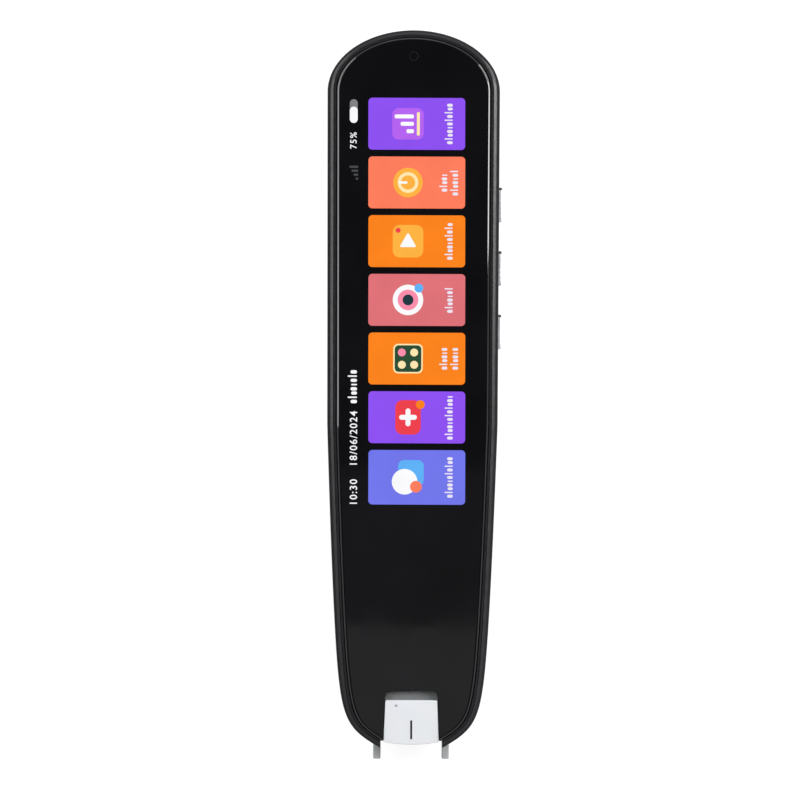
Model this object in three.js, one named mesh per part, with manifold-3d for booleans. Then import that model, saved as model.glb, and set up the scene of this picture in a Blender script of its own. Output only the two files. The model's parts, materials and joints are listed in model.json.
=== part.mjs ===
// A handheld pen-style translator, lying on its back, in millimetres.
// +X is the key side, +Y the round crown, -Y the scan tip, +Z comes out of the screen.
// The origin lies on the flat back, in the middle of the body's width and length.

import * as THREE from 'three';
import { mergeVertices } from 'three/addons/utils/BufferGeometryUtils.js';
import Module from 'manifold-3d';

const wasm = await Module();
wasm.setup();

// Body outline, from the crown down to the prongs of the scan tip
const bodyWidth = 35;
const crownDepth = 12.5;
const straightLength = 67.5;
const taperLength = 50;
const headLength = 15.6;
const straightNarrowing = 0.2;
const headWidth = 29.9;
const prongSpan = 13.9;
const prongDrop = 0.3;
const taperPull = 11;
const headPull = 10;
const tipPull = 6.5;
const taperLeanShare = 0.03;
const headLeanShare = 0.1;
const tipAngle = THREE.MathUtils.degToRad(60);
const crownSteps = 14;
const straightSteps = 2;
const taperSteps = 6;
const headSteps = 8;
const tipSteps = 3;

// Layers of the body, from the back to the glass
const coverWall = 1.4;
const batteryPadThickness = 0.3;
const batteryThickness = 4.4;
const boardGap = 0.3;
const boardThickness = 0.8;
const partsRoom = 1.5;
const plateThickness = 0.6;
const panelGap = 0.2;
const panelThickness = 1.7;
const adhesiveThickness = 0.2;
const glassThickness = 1;

// Back cover
const backRoundWidth = 4.2;
const backRoundHeight = 5;
const backRoundSteps = 5;
const tipRise = 3.2;
const tipRiseLength = 24.8;
const seamRise = 0.2;
const lipHeight = 0.8;
const lipThickness = 0.55;
const lipClearance = 0.1;
const frameLipWall = 0.85;

// Front frame and glass
const frameWall = 1.5;
const shoulderWidth = 1.15;
const shoulderHeight = 2.1;
const shoulderSteps = 4;
const rimEdge = 0.15;
const glassProud = 0.4;
const glassInset = 1.95;
const glassEndTrim = 0.35;
const glassGap = 0.15;
const glassEdge = 0.5;
const ledgeWidth = 0.8;
const ledgeThickness = 0.9;
const gasketMargin = 0.15;

// Notch in the glass and the scan nose inside it
const notchLength = 11.4;
const notchWidth = 10.6;
const notchFlare = 0.9;
const notchRadius = 1.3;
const noseLength = 9;
const noseClearance = 0.15;
const noseRecess = 0.4;
const noseFall = 0.75;
const noseLipThickness = 0.8;
const noseLipHeight = 2.3;
const noseFrontRound = 0.8;
const noseBow = 0.5;
const noseThickness = 1.6;
const noseEdge = 0.15;
const sightLength = 3.9;
const sightWidth = 0.42;
const sightDepth = 0.3;
const sightMargin = 0.8;

// Sliding foot that carries the nose, with two legs that rest on the page
const legOuter = 7.75;
const legWidth = 1.55;
const legReach = 2.45;
const legHeight = 2.2;
const legClearance = 0.2;
const legEndRound = 0.3;
const headTravel = 1;
const headStopGap = 0.2;
const bridgeLength = 5.3;
const bridgeThickness = 1.5;
const shelfLength = 3;
const armLength = 4;

// Walls, sill and window of the scan opening
const scanWallThickness = 1;
const scanWallHalf = 6.3;
const scanWallGap = 0.1;
const sillLength = 1;
const windowThickness = 0.8;
const windowHeight = 4.2;
const windowClearance = 0.2;

// Scan camera with its lights and board
const scanBoardWidth = 11;
const scanBoardLength = 16;
const scanBoardThickness = 0.6;
const scanBoardRise = 2.2;
const scanBoardToTip = 7.5;
const scanPostLength = 1.6;
const cameraSize = 6.5;
const cameraHeight = 4.2;
const lensRadius = 1.9;
const lensLength = 4;
const lensBore = 1.3;
const lensBoreDepth = 0.8;
const lightWidth = 2;
const lightLength = 1.6;
const lightHeight = 1.5;
const flexThickness = 0.3;
const scanFlexWidth = 6;

// Limit switch behind the foot
const scanSwitchWidth = 4;
const scanSwitchLength = 3.2;
const plungerWidth = 1.2;
const plungerHeight = 0.9;
const plungerGrip = 0.3;
const pocketClearance = 0.15;

// Chassis plate, its lugs and screws
const plateClearance = 0.5;
const lugWidth = 1.7;
const lugLength = 3.2;
const lugHeight = 1.1;
const screwShankRadius = 0.5;
const screwHeadRadius = 0.8;
const screwHeadHeight = 0.5;
const screwClearance = 0.06;
const screwSides = 12;
const plateScrewShares = [0.9, 0.42, 0.2];

// Main board and what it carries
const boardClearance = 0.8;
const boardToHead = 27;
const boardToCrown = 2.6;
const boardScrewMargin = 3;
const boardScrewToCrown = 9.8;
const boardScrewInset = 2.6;
const standoffRadius = 1.5;
const shieldWidth = 20;
const shieldLength = 20;
const shieldHeight = 1.3;
const memoryWidth = 10;
const memoryLength = 12;
const memoryHeight = 1;
const radioWidth = 12;
const radioLength = 10;
const radioHeight = 1.2;
const partSpacing = 3;

// Display
const panelToCrown = 11.3;
const panelLength = 88;
const panelClearance = 0.15;
const displayFlexWidth = 10;
const displayFlexReach = 1.9;
const displayConnectorLength = 2.5;
const displayConnectorWidth = 11;
const displayConnectorHeight = 0.9;
const sensorRadius = 1.3;
const sensorFromCrown = 5.3;

// Battery
const batteryWidth = 23;
const batteryToBoardEnd = 12;
const batteryRadius = 1;
const batteryTabWidth = 8;
const batteryTabLength = 3.6;
const batteryTabThickness = 0.3;
const batteryConnectorLength = 3;
const batteryConnectorWidth = 9;
const batteryConnectorHeight = 1.2;

// Speaker behind the back grille
const speakerWidth = 12;
const speakerLength = 18;
const speakerThickness = 3.5;
const speakerRadius = 1.5;
const speakerFromCrown = 24;
const speakerGasketThickness = 0.3;
const speakerGasketWidth = 1;
const cradleThickness = 0.8;
const cradleHeight = 2;
const cradleClearance = 0.2;
const grilleHoleRadius = 0.5;
const grillePitch = 2.2;
const grilleRows = 5;
const grilleColumns = 3;
const grilleSides = 10;
const contactSize = 1.2;
const contactSpacing = 4;

// Charging port in the crown
const portWidth = 8.94;
const portHeight = 3.26;
const portLength = 7.3;
const portWall = 0.3;
const portRecess = 0.6;
const portClearance = 0.18;
const portCoreLength = 2.2;
const portTongueWidth = 6.7;
const portTongueThickness = 0.7;
const portTongueSetback = 0.9;
const portCornerSteps = 3;

// Microphones between the port and the board screws at the crown
const microphoneScrewGap = 0.4;
const microphoneWidth = 3;
const microphoneLength = 2.4;
const microphoneHeight = 1;
const microphoneFromCrown = 7.6;
const microphoneHoleRadius = 0.4;

// Aerial under the crown
const aerialWidth = 14;
const aerialLength = 5;
const aerialThickness = 0.25;
const aerialFromCrown = 15;
const leadRadius = 0.4;
const leadSides = 8;
const leadReach = 3.5;

// Side keys
const keyLength = 7;
const keyHeight = 1.9;
const keyPitch = 12.9;
const keyProud = 0.6;
const keyEdge = 0.2;
const keyClearance = 0.15;
const keyFromCrown = 35.35;
const keyFlangeThickness = 0.6;
const keyFlangeOverhang = 0.7;
const keySeatGap = 0.05;
const keyTravel = 0.35;
const keyPlungerLength = 1;
const keyPlungerWidth = 2;
const keyPlungerHeight = 1;
const keySwitchLength = 4;
const keySwitchDepth = 1.7;
const keyHeadroom = 0.2;
const keyCornerSteps = 3;
const keyNames = ['power_key', 'volume_up_key', 'volume_down_key'];

// Room that a cut runs past the face that it opens
const overrun = 2;

// Places that follow from the sizes
const bodyLength = crownDepth + straightLength + taperLength + headLength;
const crownY = bodyLength / 2;
const shoulderY = crownY - crownDepth;
const taperY = shoulderY - straightLength;
const headY = taperY - taperLength;
const tipY = -bodyLength / 2;

const batteryBottom = coverWall + batteryPadThickness;
const batteryTop = batteryBottom + batteryThickness;
const boardBottom = batteryTop + boardGap;
const boardTop = boardBottom + boardThickness;
const plateBottom = boardTop + partsRoom;
const plateTop = plateBottom + plateThickness;
const panelBottom = plateTop + panelGap;
const ledgeTop = panelBottom + panelThickness;
const glassBottom = ledgeTop + adhesiveThickness;
const glassTop = glassBottom + glassThickness;
const rimTop = glassTop - glassProud;
const seamZ = boardBottom + seamRise;

const notchEnd = tipY + notchLength;
const noseFrontY = tipY + noseClearance + noseBow;
const noseBackY = noseFrontY + noseLength;
const noseTop = glassTop - noseRecess;
const noseBottom = noseTop - noseThickness;
const bridgeTop = noseBottom + noseBow;
const bridgeBottom = bridgeTop - bridgeThickness;
const bridgeBackY = noseBackY + bridgeLength;
const legTop = seamZ - legClearance;
const legBottom = legTop - legHeight;
const legInner = legOuter - legWidth;
const sillZ = legBottom - legClearance;

const materials = {
  frameBlack: finish(0x2b2b2e, 0.38, 0.15),
  coverBlack: finish(0x262628, 0.5, 0.05),
  glassBlack: finish(0x0c0c0e, 0.06, 0),
  adhesive: finish(0x1a1a1a, 0.8, 0),
  screen: finish(0x15151a, 0.25, 0),
  steel: finish(0xa8abb0, 0.35, 1),
  board: finish(0x14402c, 0.5, 0.1),
  chip: finish(0x1b1b1d, 0.45, 0),
  shield: finish(0xb9bcc0, 0.3, 1),
  copper: finish(0xb5773c, 0.45, 0.6),
  battery: finish(0x3a3c40, 0.4, 0.3),
  foam: finish(0x222222, 0.95, 0),
  amber: finish(0xb07a2e, 0.5, 0),
  white: finish(0xe6e8ec, 0.3, 0),
  frost: finish(0x9aa3a8, 0.3, 0),
  darkWindow: finish(0x1c1216, 0.08, 0),
  key: finish(0xb4b6ba, 0.32, 0.8),
  light: finish(0xf4f0d8, 0.4, 0),
};

function finish(color, roughness, metalness) {
  return new THREE.MeshStandardMaterial({ color, roughness, metalness });
}

// Solids and surfaces

function toSolid(geometry) {
  const bare = geometry.clone();
  bare.deleteAttribute('normal');
  bare.deleteAttribute('uv');
  const merged = mergeVertices(bare);
  return new wasm.Manifold(new wasm.Mesh({
    numProp: 3,
    vertProperties: new Float32Array(merged.attributes.position.array),
    triVerts: new Uint32Array(merged.index.array),
  }));
}

function toGeometry(solid) {
  const mesh = solid.getMesh();
  const geometry = new THREE.BufferGeometry();
  geometry.setAttribute('position', new THREE.BufferAttribute(mesh.vertProperties, mesh.numProp));
  geometry.setIndex(new THREE.BufferAttribute(mesh.triVerts, 1));
  geometry.computeVertexNormals();
  return geometry;
}

function cut(geometry, cutters) {
  return toGeometry(cutters.reduce((solid, cutter) => solid.subtract(toSolid(cutter)), toSolid(geometry)));
}

function join(geometry, additions) {
  return toGeometry(additions.reduce((solid, addition) => solid.add(toSolid(addition)), toSolid(geometry)));
}

function common(geometry, other) {
  return toGeometry(toSolid(geometry).intersect(toSolid(other)));
}

// A box between two corners
function box(low, high) {
  const size = high.map((value, axis) => value - low[axis]);
  const middle = high.map((value, axis) => (value + low[axis]) / 2);
  return new THREE.BoxGeometry(...size).translate(...middle);
}

// A box centred on the middle of its base
function block(width, length, height) {
  return new THREE.BoxGeometry(width, length, height).translate(0, 0, height / 2);
}

// A round rod standing on its base
function rod(radius, height, sides = screwSides) {
  const cylinder = new THREE.CylinderGeometry(radius, radius, height, sides);
  return cylinder.rotateX(Math.PI / 2).translate(0, 0, height / 2);
}

function roundedShape(width, length, radius) {
  const shape = new THREE.Shape();
  const x = width / 2;
  const y = length / 2;
  const quarter = Math.PI / 2;
  shape.absarc(x - radius, y - radius, radius, 0, quarter);
  shape.absarc(radius - x, y - radius, radius, quarter, 2 * quarter);
  shape.absarc(radius - x, radius - y, radius, 2 * quarter, 3 * quarter);
  shape.absarc(x - radius, radius - y, radius, 3 * quarter, 4 * quarter);
  return shape;
}

function extrude(shape, depth, curveSegments = 3) {
  return new THREE.ExtrudeGeometry(shape, { depth, bevelEnabled: false, curveSegments });
}

// A side profile, given as points of Y and Z, made as wide as asked about the middle plane
function extrudeAcross(points, width) {
  const shape = new THREE.Shape(points.map(([y, z]) => new THREE.Vector2(y, z)));
  const turn = new THREE.Matrix4().makeBasis(
    new THREE.Vector3(0, 1, 0), new THREE.Vector3(0, 0, 1), new THREE.Vector3(1, 0, 0));
  return extrude(shape, width).translate(0, 0, -width / 2).applyMatrix4(turn);
}

// Rings of equal count joined into a closed body, with end caps or as a closed loop
function loft(rings, closed = false) {
  const count = rings[0].length;
  const positions = rings.flat().flatMap(point => [point.x, point.y, point.z]);
  const indices = [];
  const spans = closed ? rings.length : rings.length - 1;
  for (let ring = 0; ring < spans; ring++) {
    const next = (ring + 1) % rings.length;
    for (let i = 0; i < count; i++) {
      const j = (i + 1) % count;
      const [a, b] = [ring * count + i, ring * count + j];
      const [c, d] = [next * count + i, next * count + j];
      indices.push(a, b, d, a, d, c);
    }
  }
  if (!closed) {
    addCap(0, true);
    addCap(rings.length - 1, false);
  }
  const geometry = new THREE.BufferGeometry();
  geometry.setAttribute('position', new THREE.Float32BufferAttribute(positions, 3));
  geometry.setIndex(indices);
  return geometry;

  // Rungs across the ring, from its last point down to the middle one
  function addCap(ring, reversed) {
    const rung = count / 2 - 1;
    for (let i = 0; i < rung; i++) {
      const [left, nextLeft] = [i, i + 1];
      const [right, nextRight] = [count - 2 - i, count - 3 - i];
      addFace(ring, reversed, left, nextLeft, right);
      if (nextLeft !== nextRight) addFace(ring, reversed, nextLeft, nextRight, right);
    }
    addFace(ring, reversed, count - 1, 0, count - 2);
  }

  function addFace(ring, reversed, a, b, c) {
    const corners = reversed ? [a, c, b] : [a, b, c];
    indices.push(...corners.map(corner => ring * count + corner));
  }
}

// Stations round the body outline, counter-clockwise seen from the front, with outward normals

function outlineStations() {
  const half = bodyWidth / 2;
  const straightEnd = new THREE.Vector2(half - straightNarrowing, taperY);
  const headStart = new THREE.Vector2(headWidth / 2, headY);
  const headEnd = new THREE.Vector2(prongSpan / 2, tipY + prongDrop);
  const tipDirection = new THREE.Vector2(-Math.sin(tipAngle), -Math.cos(tipAngle));
  const tipRadius = headEnd.x / Math.cos(tipAngle);
  const tipCentreY = headEnd.y + tipRadius * Math.sin(tipAngle);
  const taper = new THREE.CubicBezierCurve(
    straightEnd,
    new THREE.Vector2(straightEnd.x - taperPull * taperLeanShare, taperY - taperPull),
    new THREE.Vector2(headStart.x + headPull * headLeanShare, headY + headPull),
    headStart);
  const head = new THREE.CubicBezierCurve(
    headStart,
    new THREE.Vector2(headStart.x - headPull * headLeanShare, headY - headPull),
    headEnd.clone().addScaledVector(tipDirection, -tipPull),
    headEnd);
  const crown = new THREE.EllipseCurve(0, shoulderY, half, crownDepth, Math.PI / 2, 0, true);
  const straight = new THREE.LineCurve(new THREE.Vector2(half, shoulderY), straightEnd);
  const tip = new THREE.EllipseCurve(0, tipCentreY, tipRadius, tipRadius, -tipAngle, -Math.PI / 2, true);
  const stretches = [
    [crown, crownSteps],
    [straight, straightSteps],
    [taper, taperSteps],
    [head, headSteps],
    [tip, tipSteps],
  ];
  const right = stretches.flatMap(([curve, steps]) => stationsOn(curve, steps));
  right.push({ point: tip.getPoint(1), normal: new THREE.Vector2(0, -1) });
  right[0].normal.set(0, 1);
  const left = right.slice(1, -1).map(({ point, normal }) => ({
    point: new THREE.Vector2(-point.x, point.y),
    normal: new THREE.Vector2(-normal.x, normal.y),
  }));
  return [...left, ...right.reverse()];
}

function stationsOn(curve, steps) {
  return Array.from({ length: steps }, (_, i) => {
    const tangent = curve.getTangent(i / steps);
    return { point: curve.getPoint(i / steps), normal: new THREE.Vector2(-tangent.y, tangent.x) };
  });
}

const stations = outlineStations();

// The outline drawn in by an inset, trimmed wider where it faces the crown or the tip
function ringAt(inset, z, endTrim = 0) {
  return stations.map(({ point, normal }) => {
    const reach = inset - endTrim * normal.y ** 2;
    return new THREE.Vector3(point.x - normal.x * reach, point.y - normal.y * reach, z);
  });
}

function outlinePrism(inset, low, high) {
  return loft([ringAt(inset, low), ringAt(inset, high)]);
}

// Half the body's width at a height along Y, less an inset
function halfWidthAt(y, inset = 0) {
  const right = stations.filter(({ point }) => point.x > 0);
  const next = right.findIndex(({ point }) => point.y > y);
  const [low, high] = [right[next - 1].point, right[next].point];
  return low.x + (high.x - low.x) * (y - low.y) / (high.y - low.y) - inset;
}

// How far the back rises towards the scan tip
function backRise(y) {
  const share = THREE.MathUtils.clamp((tipY + tipRiseLength - y) / tipRiseLength, 0, 1);
  return tipRise * share ** 2;
}

// Height of the cover's inner floor along Y
function coverFloorAt(y) {
  return coverWall + backRise(y) * (1 - coverWall / backRoundHeight);
}

function raiseBack(ring) {
  return ring.map(point => {
    const hold = THREE.MathUtils.clamp(1 - point.z / backRoundHeight, 0, 1);
    return point.clone().setZ(point.z + backRise(point.y) * hold);
  });
}

// Back cover: a dish with a round edge, a lip, the speaker grille and the openings of the crown and tip

// Rings of a skin with a round edge, drawn in by a wall all over
function roundedRings(wall) {
  return Array.from({ length: backRoundSteps + 1 }, (_, step) => {
    const angle = Math.PI / 2 * step / backRoundSteps;
    return raiseBack(ringAt(
      backRoundWidth - (backRoundWidth - wall) * Math.sin(angle),
      backRoundHeight - (backRoundHeight - wall) * Math.cos(angle)));
  });
}

function coverSkin() {
  return [...roundedRings(0), ringAt(0, seamZ)];
}

function backCover() {
  const lipOuter = frameLipWall + lipClearance;
  const lipTop = seamZ + lipHeight;
  const rings = [
    ...coverSkin(),
    ringAt(lipOuter, seamZ),
    ringAt(lipOuter, lipTop),
    ringAt(lipOuter + lipThickness, lipTop),
    ...roundedRings(coverWall).reverse(),
  ];
  const shell = join(loft(rings), [...speakerCradle(), ...scanPosts(), ...scanSills()]);
  return cut(shell, [
    ...grilleHoles(),
    ...keyRoom(),
    portOpening(),
    ...microphoneHoles(),
    legRoom(),
    box([-scanWallHalf, tipY - overrun, -overrun], [scanWallHalf, noseFrontY + noseBow, glassTop]),
  ]);
}

function speakerCradle() {
  const x = speakerWidth / 2 + cradleClearance;
  const y = speakerLength / 2 + cradleClearance;
  const outer = box(
    [-x - cradleThickness, speakerY - y - cradleThickness, coverWall - rimEdge],
    [x + cradleThickness, speakerY + y + cradleThickness, coverWall + cradleHeight]);
  const room = box([-x, speakerY - y, 0], [x, speakerY + y, glassTop]);
  return [cut(outer, [room])];
}

// Two posts under the scan board
function scanPosts() {
  const half = scanBoardWidth / 2;
  return [scanBoardFrontY, scanBoardBackY - scanPostLength].map(y => {
    const end = y + scanPostLength;
    return box([-half, y, coverFloorAt(end) - coverWall / 2], [half, end, scanBoardBottom]);
  });
}

// The sill under the legs, and the seat of the window between them
function scanSills() {
  const y = noseFrontY + noseBow;
  const low = coverFloorAt(y + sillLength + windowThickness) - coverWall / 2;
  const x = legOuter + legClearance;
  const sill = common(box([-x, tipY, 0], [x, y + 2 * sillLength, sillZ]), loft(coverSkin()));
  const seat = box(
    [windowClearance - legInner, y, low],
    [legInner - windowClearance, y + sillLength + windowThickness, windowBottom]);
  return [sill, seat];
}

function legRoom() {
  const x = legOuter + legClearance;
  const open = box([-x, tipY - overrun, sillZ], [x, tipY + backRoundHeight, glassTop]);
  const seat = box(
    [windowClearance - legInner, tipY - overrun, 0],
    [legInner - windowClearance, glassTop, windowBottom]);
  return cut(open, [seat]);
}

function grilleHoles() {
  const holes = [];
  for (let row = 0; row < grilleRows; row++) {
    for (let column = 0; column < grilleColumns; column++) {
      holes.push(rod(grilleHoleRadius, coverWall + 2 * overrun, grilleSides).translate(
        (column - (grilleColumns - 1) / 2) * grillePitch,
        speakerY + (row - (grilleRows - 1) / 2) * grillePitch,
        -overrun));
    }
  }
  return holes;
}

// Room in the lip for the three keys
function keyRoom() {
  const half = keyLength / 2 + keyFlangeOverhang + keyClearance;
  return keyYs.map(y => box([0, y - half, seamZ], [bodyWidth, y + half, glassTop]));
}

function portOpening() {
  return portTube(portClearance, 2 * portLength).translate(0, crownY - portLength, portZ);
}

function microphoneHoles() {
  return [-1, 1].map(side => rod(microphoneHoleRadius, 2 * overrun + coverWall, grilleSides)
    .rotateX(-Math.PI / 2)
    .translate(side * microphoneX, microphoneY + microphoneLength / 2, microphoneZ));
}

// Front frame: the rim round the glass, with its ledge, its lugs and the walls of the scan opening

function frontFrame() {
  const profile = [[0, seamZ, 0], [0, rimTop - shoulderHeight, 0]];
  for (let step = 1; step <= shoulderSteps; step++) {
    const angle = Math.PI / 2 * step / shoulderSteps;
    profile.push([
      shoulderWidth * (1 - Math.cos(angle)),
      rimTop - shoulderHeight * (1 - Math.sin(angle)),
      0]);
  }
  const opening = glassInset - glassGap;
  profile.push(
    [opening - rimEdge, rimTop, glassEndTrim],
    [opening, rimTop - rimEdge, glassEndTrim],
    [opening, ledgeTop, glassEndTrim],
    [opening + ledgeWidth, ledgeTop, 0],
    [opening + ledgeWidth, ledgeTop - ledgeThickness, 0],
    [frameWall, ledgeTop - ledgeThickness - ledgeWidth, 0],
    [frameWall, seamZ + lipHeight + lipClearance, 0],
    [frameLipWall, seamZ + lipHeight + lipClearance, 0],
    [frameLipWall, seamZ, 0]);
  const rings = profile.map(([inset, z, trim]) => ringAt(inset, z, trim));
  const rim = cut(loft(rings, true), [
    box([-scanWallHalf, tipY - overrun, 0], [scanWallHalf, notchEnd, glassTop + overrun]),
  ]);
  return cut(join(rim, [...frameLugs(), ...scanWalls()]), [...plateScrewHoles(), ...keySlots()]);
}

function frameLugs() {
  return plateScrewPlaces.map(({ x, y }) => {
    const inner = Math.abs(x) - lugWidth / 2;
    const low = [inner, y - lugLength / 2, plateTop];
    const high = [halfWidthAt(y, frameLipWall), y + lugLength / 2, plateTop + lugHeight];
    return Math.sign(x) > 0 ? box(low, high) : box([-high[0], low[1], low[2]], [-low[0], high[1], high[2]]);
  });
}

function scanWalls() {
  const room = outlinePrism(lipClearance, seamZ, ledgeTop);
  const outer = scanWallHalf + scanWallThickness;
  return [-1, 1].map(side => {
    const [x0, x1] = side > 0 ? [scanWallHalf, outer] : [-outer, -scanWallHalf];
    return common(box([x0, tipY - overrun, seamZ], [x1, scanWallEndY, ledgeTop]), room);
  });
}

function keySlots() {
  return keyYs.map(y => keyPrism(keyClearance, 2 * frameWall + 2 * overrun)
    .translate(halfWidthAt(y, frameWall) - overrun, y, keyZ));
}

function frontGlass() {
  const rings = [
    ringAt(glassInset + rimEdge, glassBottom, glassEndTrim),
    ringAt(glassInset, glassBottom + rimEdge, glassEndTrim),
    ringAt(glassInset, glassTop - glassEdge, glassEndTrim),
    ringAt(glassInset + glassEdge / 4, glassTop - glassEdge / 3, glassEndTrim),
    ringAt(glassInset + glassEdge, glassTop, glassEndTrim),
  ];
  return cut(loft(rings), [glassNotch(0)]);
}

// The notch of the glass, wider towards the tip, with round inner corners
function glassNotch(grow) {
  const half = notchWidth / 2 + grow;
  const foot = half + notchFlare / 2;
  const footY = tipY - overrun;
  const top = notchEnd + grow;
  const shape = new THREE.Shape();
  shape.moveTo(-foot, footY);
  shape.lineTo(foot, footY);
  shape.lineTo(half, top - notchRadius);
  shape.quadraticCurveTo(half, top, half - notchRadius, top);
  shape.lineTo(notchRadius - half, top);
  shape.quadraticCurveTo(-half, top, -half, top - notchRadius);
  return extrude(shape, glassTop + overrun - ledgeTop, 4).translate(0, 0, ledgeTop - overrun / 2);
}

function glassGasket() {
  const outer = glassInset + gasketMargin;
  const inner = glassInset - glassGap + ledgeWidth - gasketMargin / 2;
  const rings = [[outer, ledgeTop], [outer, glassBottom], [inner, glassBottom], [inner, ledgeTop]];
  const ring = loft(rings.map(([inset, z]) => ringAt(inset, z)), true);
  const gap = scanWallHalf + scanWallThickness;
  return cut(ring, [box([-gap, tipY - overrun, 0], [gap, notchEnd, glassTop])]);
}

// Scan nose: a white plate that slopes to a rounded front lip, with a sight line

function scanNose() {
  const half = notchWidth / 2 - noseClearance;
  const flare = notchFlare / 2 * noseLength / notchLength;
  const front = noseFrontY;
  const plan = new THREE.Shape();
  plan.moveTo(-half, noseBackY);
  plan.lineTo(-half - flare, front + noseBow);
  plan.quadraticCurveTo(0, front - noseBow, half + flare, front + noseBow);
  plan.lineTo(half, noseBackY);
  const prism = extrude(plan, noseTop, 8);
  const lipBottom = noseTop - noseFall - noseLipHeight;
  const frontTop = noseTop - noseFall;
  const profile = [
    [noseBackY, noseBottom],
    [noseBackY, noseTop - noseEdge],
    [noseBackY - noseEdge, noseTop],
    [front + noseFrontRound, frontTop + noseEdge],
    [front + noseFrontRound / 3, frontTop - noseEdge],
    [front, frontTop - noseFrontRound],
    [front, lipBottom],
    [front + noseLipThickness + noseBow, lipBottom],
    [front + noseLipThickness + noseBow, noseBottom],
  ];
  const body = common(prism, extrudeAcross(profile, bodyWidth));
  return cut(body, [sightGroove()]);
}

function sightGroove() {
  const y0 = noseFrontY + sightMargin;
  const slope = noseFall / noseLength;
  const low = [[y0, 0], [y0 + sightLength, sightLength]].map(([y, along]) =>
    [y, noseTop - noseFall - sightDepth + (sightMargin + along) * slope]);
  return extrudeAcross([...low, [y0 + sightLength, glassTop], [y0, glassTop]], sightWidth);
}

// Sliding foot: a bridge under the glass, a shelf for the nose, and two arms with legs

function scanFoot() {
  const bridge = box([-legOuter, noseBackY, bridgeBottom], [legOuter, bridgeBackY, bridgeTop]);
  const shelf = box(
    [noseClearance - notchWidth / 2, noseBackY - shelfLength, bridgeBottom],
    [notchWidth / 2 - noseClearance, noseBackY, noseBottom]);
  const sides = [-1, 1].flatMap(side => {
    const [x0, x1] = side > 0 ? [legInner, legOuter] : [-legOuter, -legInner];
    const arm = box([x0, bridgeBackY - armLength, legBottom], [x1, bridgeBackY, bridgeTop]);
    return [arm, footLeg().translate((x0 + x1) / 2, 0, 0)];
  });
  return join(bridge, [shelf, ...sides]);
}

function footLeg() {
  const tip = tipY - legReach;
  return extrudeAcross([
    [bridgeBackY, legBottom],
    [bridgeBackY, legTop],
    [tip + legEndRound, legTop],
    [tip, legTop - legEndRound],
    [tip, legBottom + legEndRound],
    [tip + legEndRound, legBottom],
  ], legWidth);
}

function scanWindow() {
  return block(2 * (legInner - 2 * windowClearance), windowThickness, windowHeight);
}

// Limit switch with a pocket for the plunger that the foot pushes

function scanSwitch() {
  const height = bridgeTop - plateTop - pocketClearance;
  const pocket = block(
    plungerWidth + 2 * pocketClearance,
    plungerGrip + headTravel + headStopGap + overrun,
    plungerHeight + 2 * pocketClearance);
  pocket.translate(
    0,
    -scanSwitchLength / 2 - overrun / 2 + (plungerGrip + headTravel + headStopGap) / 2,
    plungerZ - plateTop - pocketClearance);
  return cut(block(scanSwitchWidth, scanSwitchLength, height), [pocket]);
}

// Camera, lens, lights and flat lead of the scan head

function scanLens() {
  const barrel = [
    [0, 0], [lensRadius, 0], [lensRadius, lensLength], [lensBore, lensLength],
    [lensBore, lensLength - lensBoreDepth], [0, lensLength - lensBoreDepth],
  ].map(([x, y]) => new THREE.Vector2(x, y));
  return new THREE.LatheGeometry(barrel, screwSides).rotateZ(Math.PI);
}

function scanFlex() {
  const low = scanBoardTop;
  const high = boardBottom - flexThickness;
  const start = scanBoardBackY - 2 * flexThickness;
  const landing = boardEndY + partSpacing;
  const rise = boardEndY - flexThickness;
  return extrudeAcross([
    [start - scanPostLength, low],
    [scanBoardBackY, low],
    [rise, high],
    [landing, high],
    [landing, high + flexThickness],
    [rise - flexThickness, high + flexThickness],
    [start, low + flexThickness],
    [start - scanPostLength, low + flexThickness],
  ], scanFlexWidth);
}

// Chassis plate: stands between the board and the display, with standoffs for the board

function chassisPlate() {
  const inset = frameWall + plateClearance;
  const plate = common(
    outlinePrism(inset, plateBottom, plateTop),
    box([-bodyWidth, plateEndY, 0], [bodyWidth, crownY, glassTop]));
  const standoffs = boardScrewPlaces.map(({ x, y }) =>
    rod(standoffRadius, partsRoom + plateThickness / 2).translate(x, y, boardTop));
  const keyHalf = keyLength / 2 + keyFlangeOverhang + keyClearance;
  const keyGap = box(
    [keySwitchX - keyClearance, keyYs[keyYs.length - 1] - keyHalf, 0],
    [bodyWidth, keyYs[0] + keyHalf, glassTop]);
  const flexGap = box(
    [-displayFlexWidth / 2 - panelGap, panelEndY - displayFlexReach - flexThickness, 0],
    [displayFlexWidth / 2 + panelGap, panelEndY - flexThickness, glassTop]);
  return cut(join(plate, standoffs), [keyGap, flexGap, ...plateScrewHoles(), ...boardScrewHoles()]);
}

function plateScrewHoles() {
  const hole = rod(screwShankRadius + screwClearance, plateThickness + lugHeight);
  return plateScrewPlaces.map(({ x, y }) => hole.clone().translate(x, y, plateBottom - screwClearance));
}

function boardScrewHoles() {
  const hole = rod(screwShankRadius + screwClearance, boardThickness + partsRoom);
  return boardScrewPlaces.map(({ x, y }) => hole.clone().translate(x, y, boardBottom - screwClearance));
}

// A countersunk-free pan screw whose head hangs below its seat
function screw(shankLength) {
  const outline = [
    [0, -screwHeadHeight], [screwHeadRadius, -screwHeadHeight], [screwHeadRadius, 0],
    [screwShankRadius, 0], [screwShankRadius, shankLength], [0, shankLength],
  ].map(([x, y]) => new THREE.Vector2(x, y));
  return new THREE.LatheGeometry(outline, screwSides).rotateX(Math.PI / 2);
}

function mainBoard() {
  const inset = frameWall + boardClearance;
  const board = common(
    outlinePrism(inset, boardBottom, boardTop),
    box([-bodyWidth, boardEndY, 0], [bodyWidth, crownY - boardToCrown, glassTop]));
  return cut(board, boardScrewHoles());
}

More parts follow.
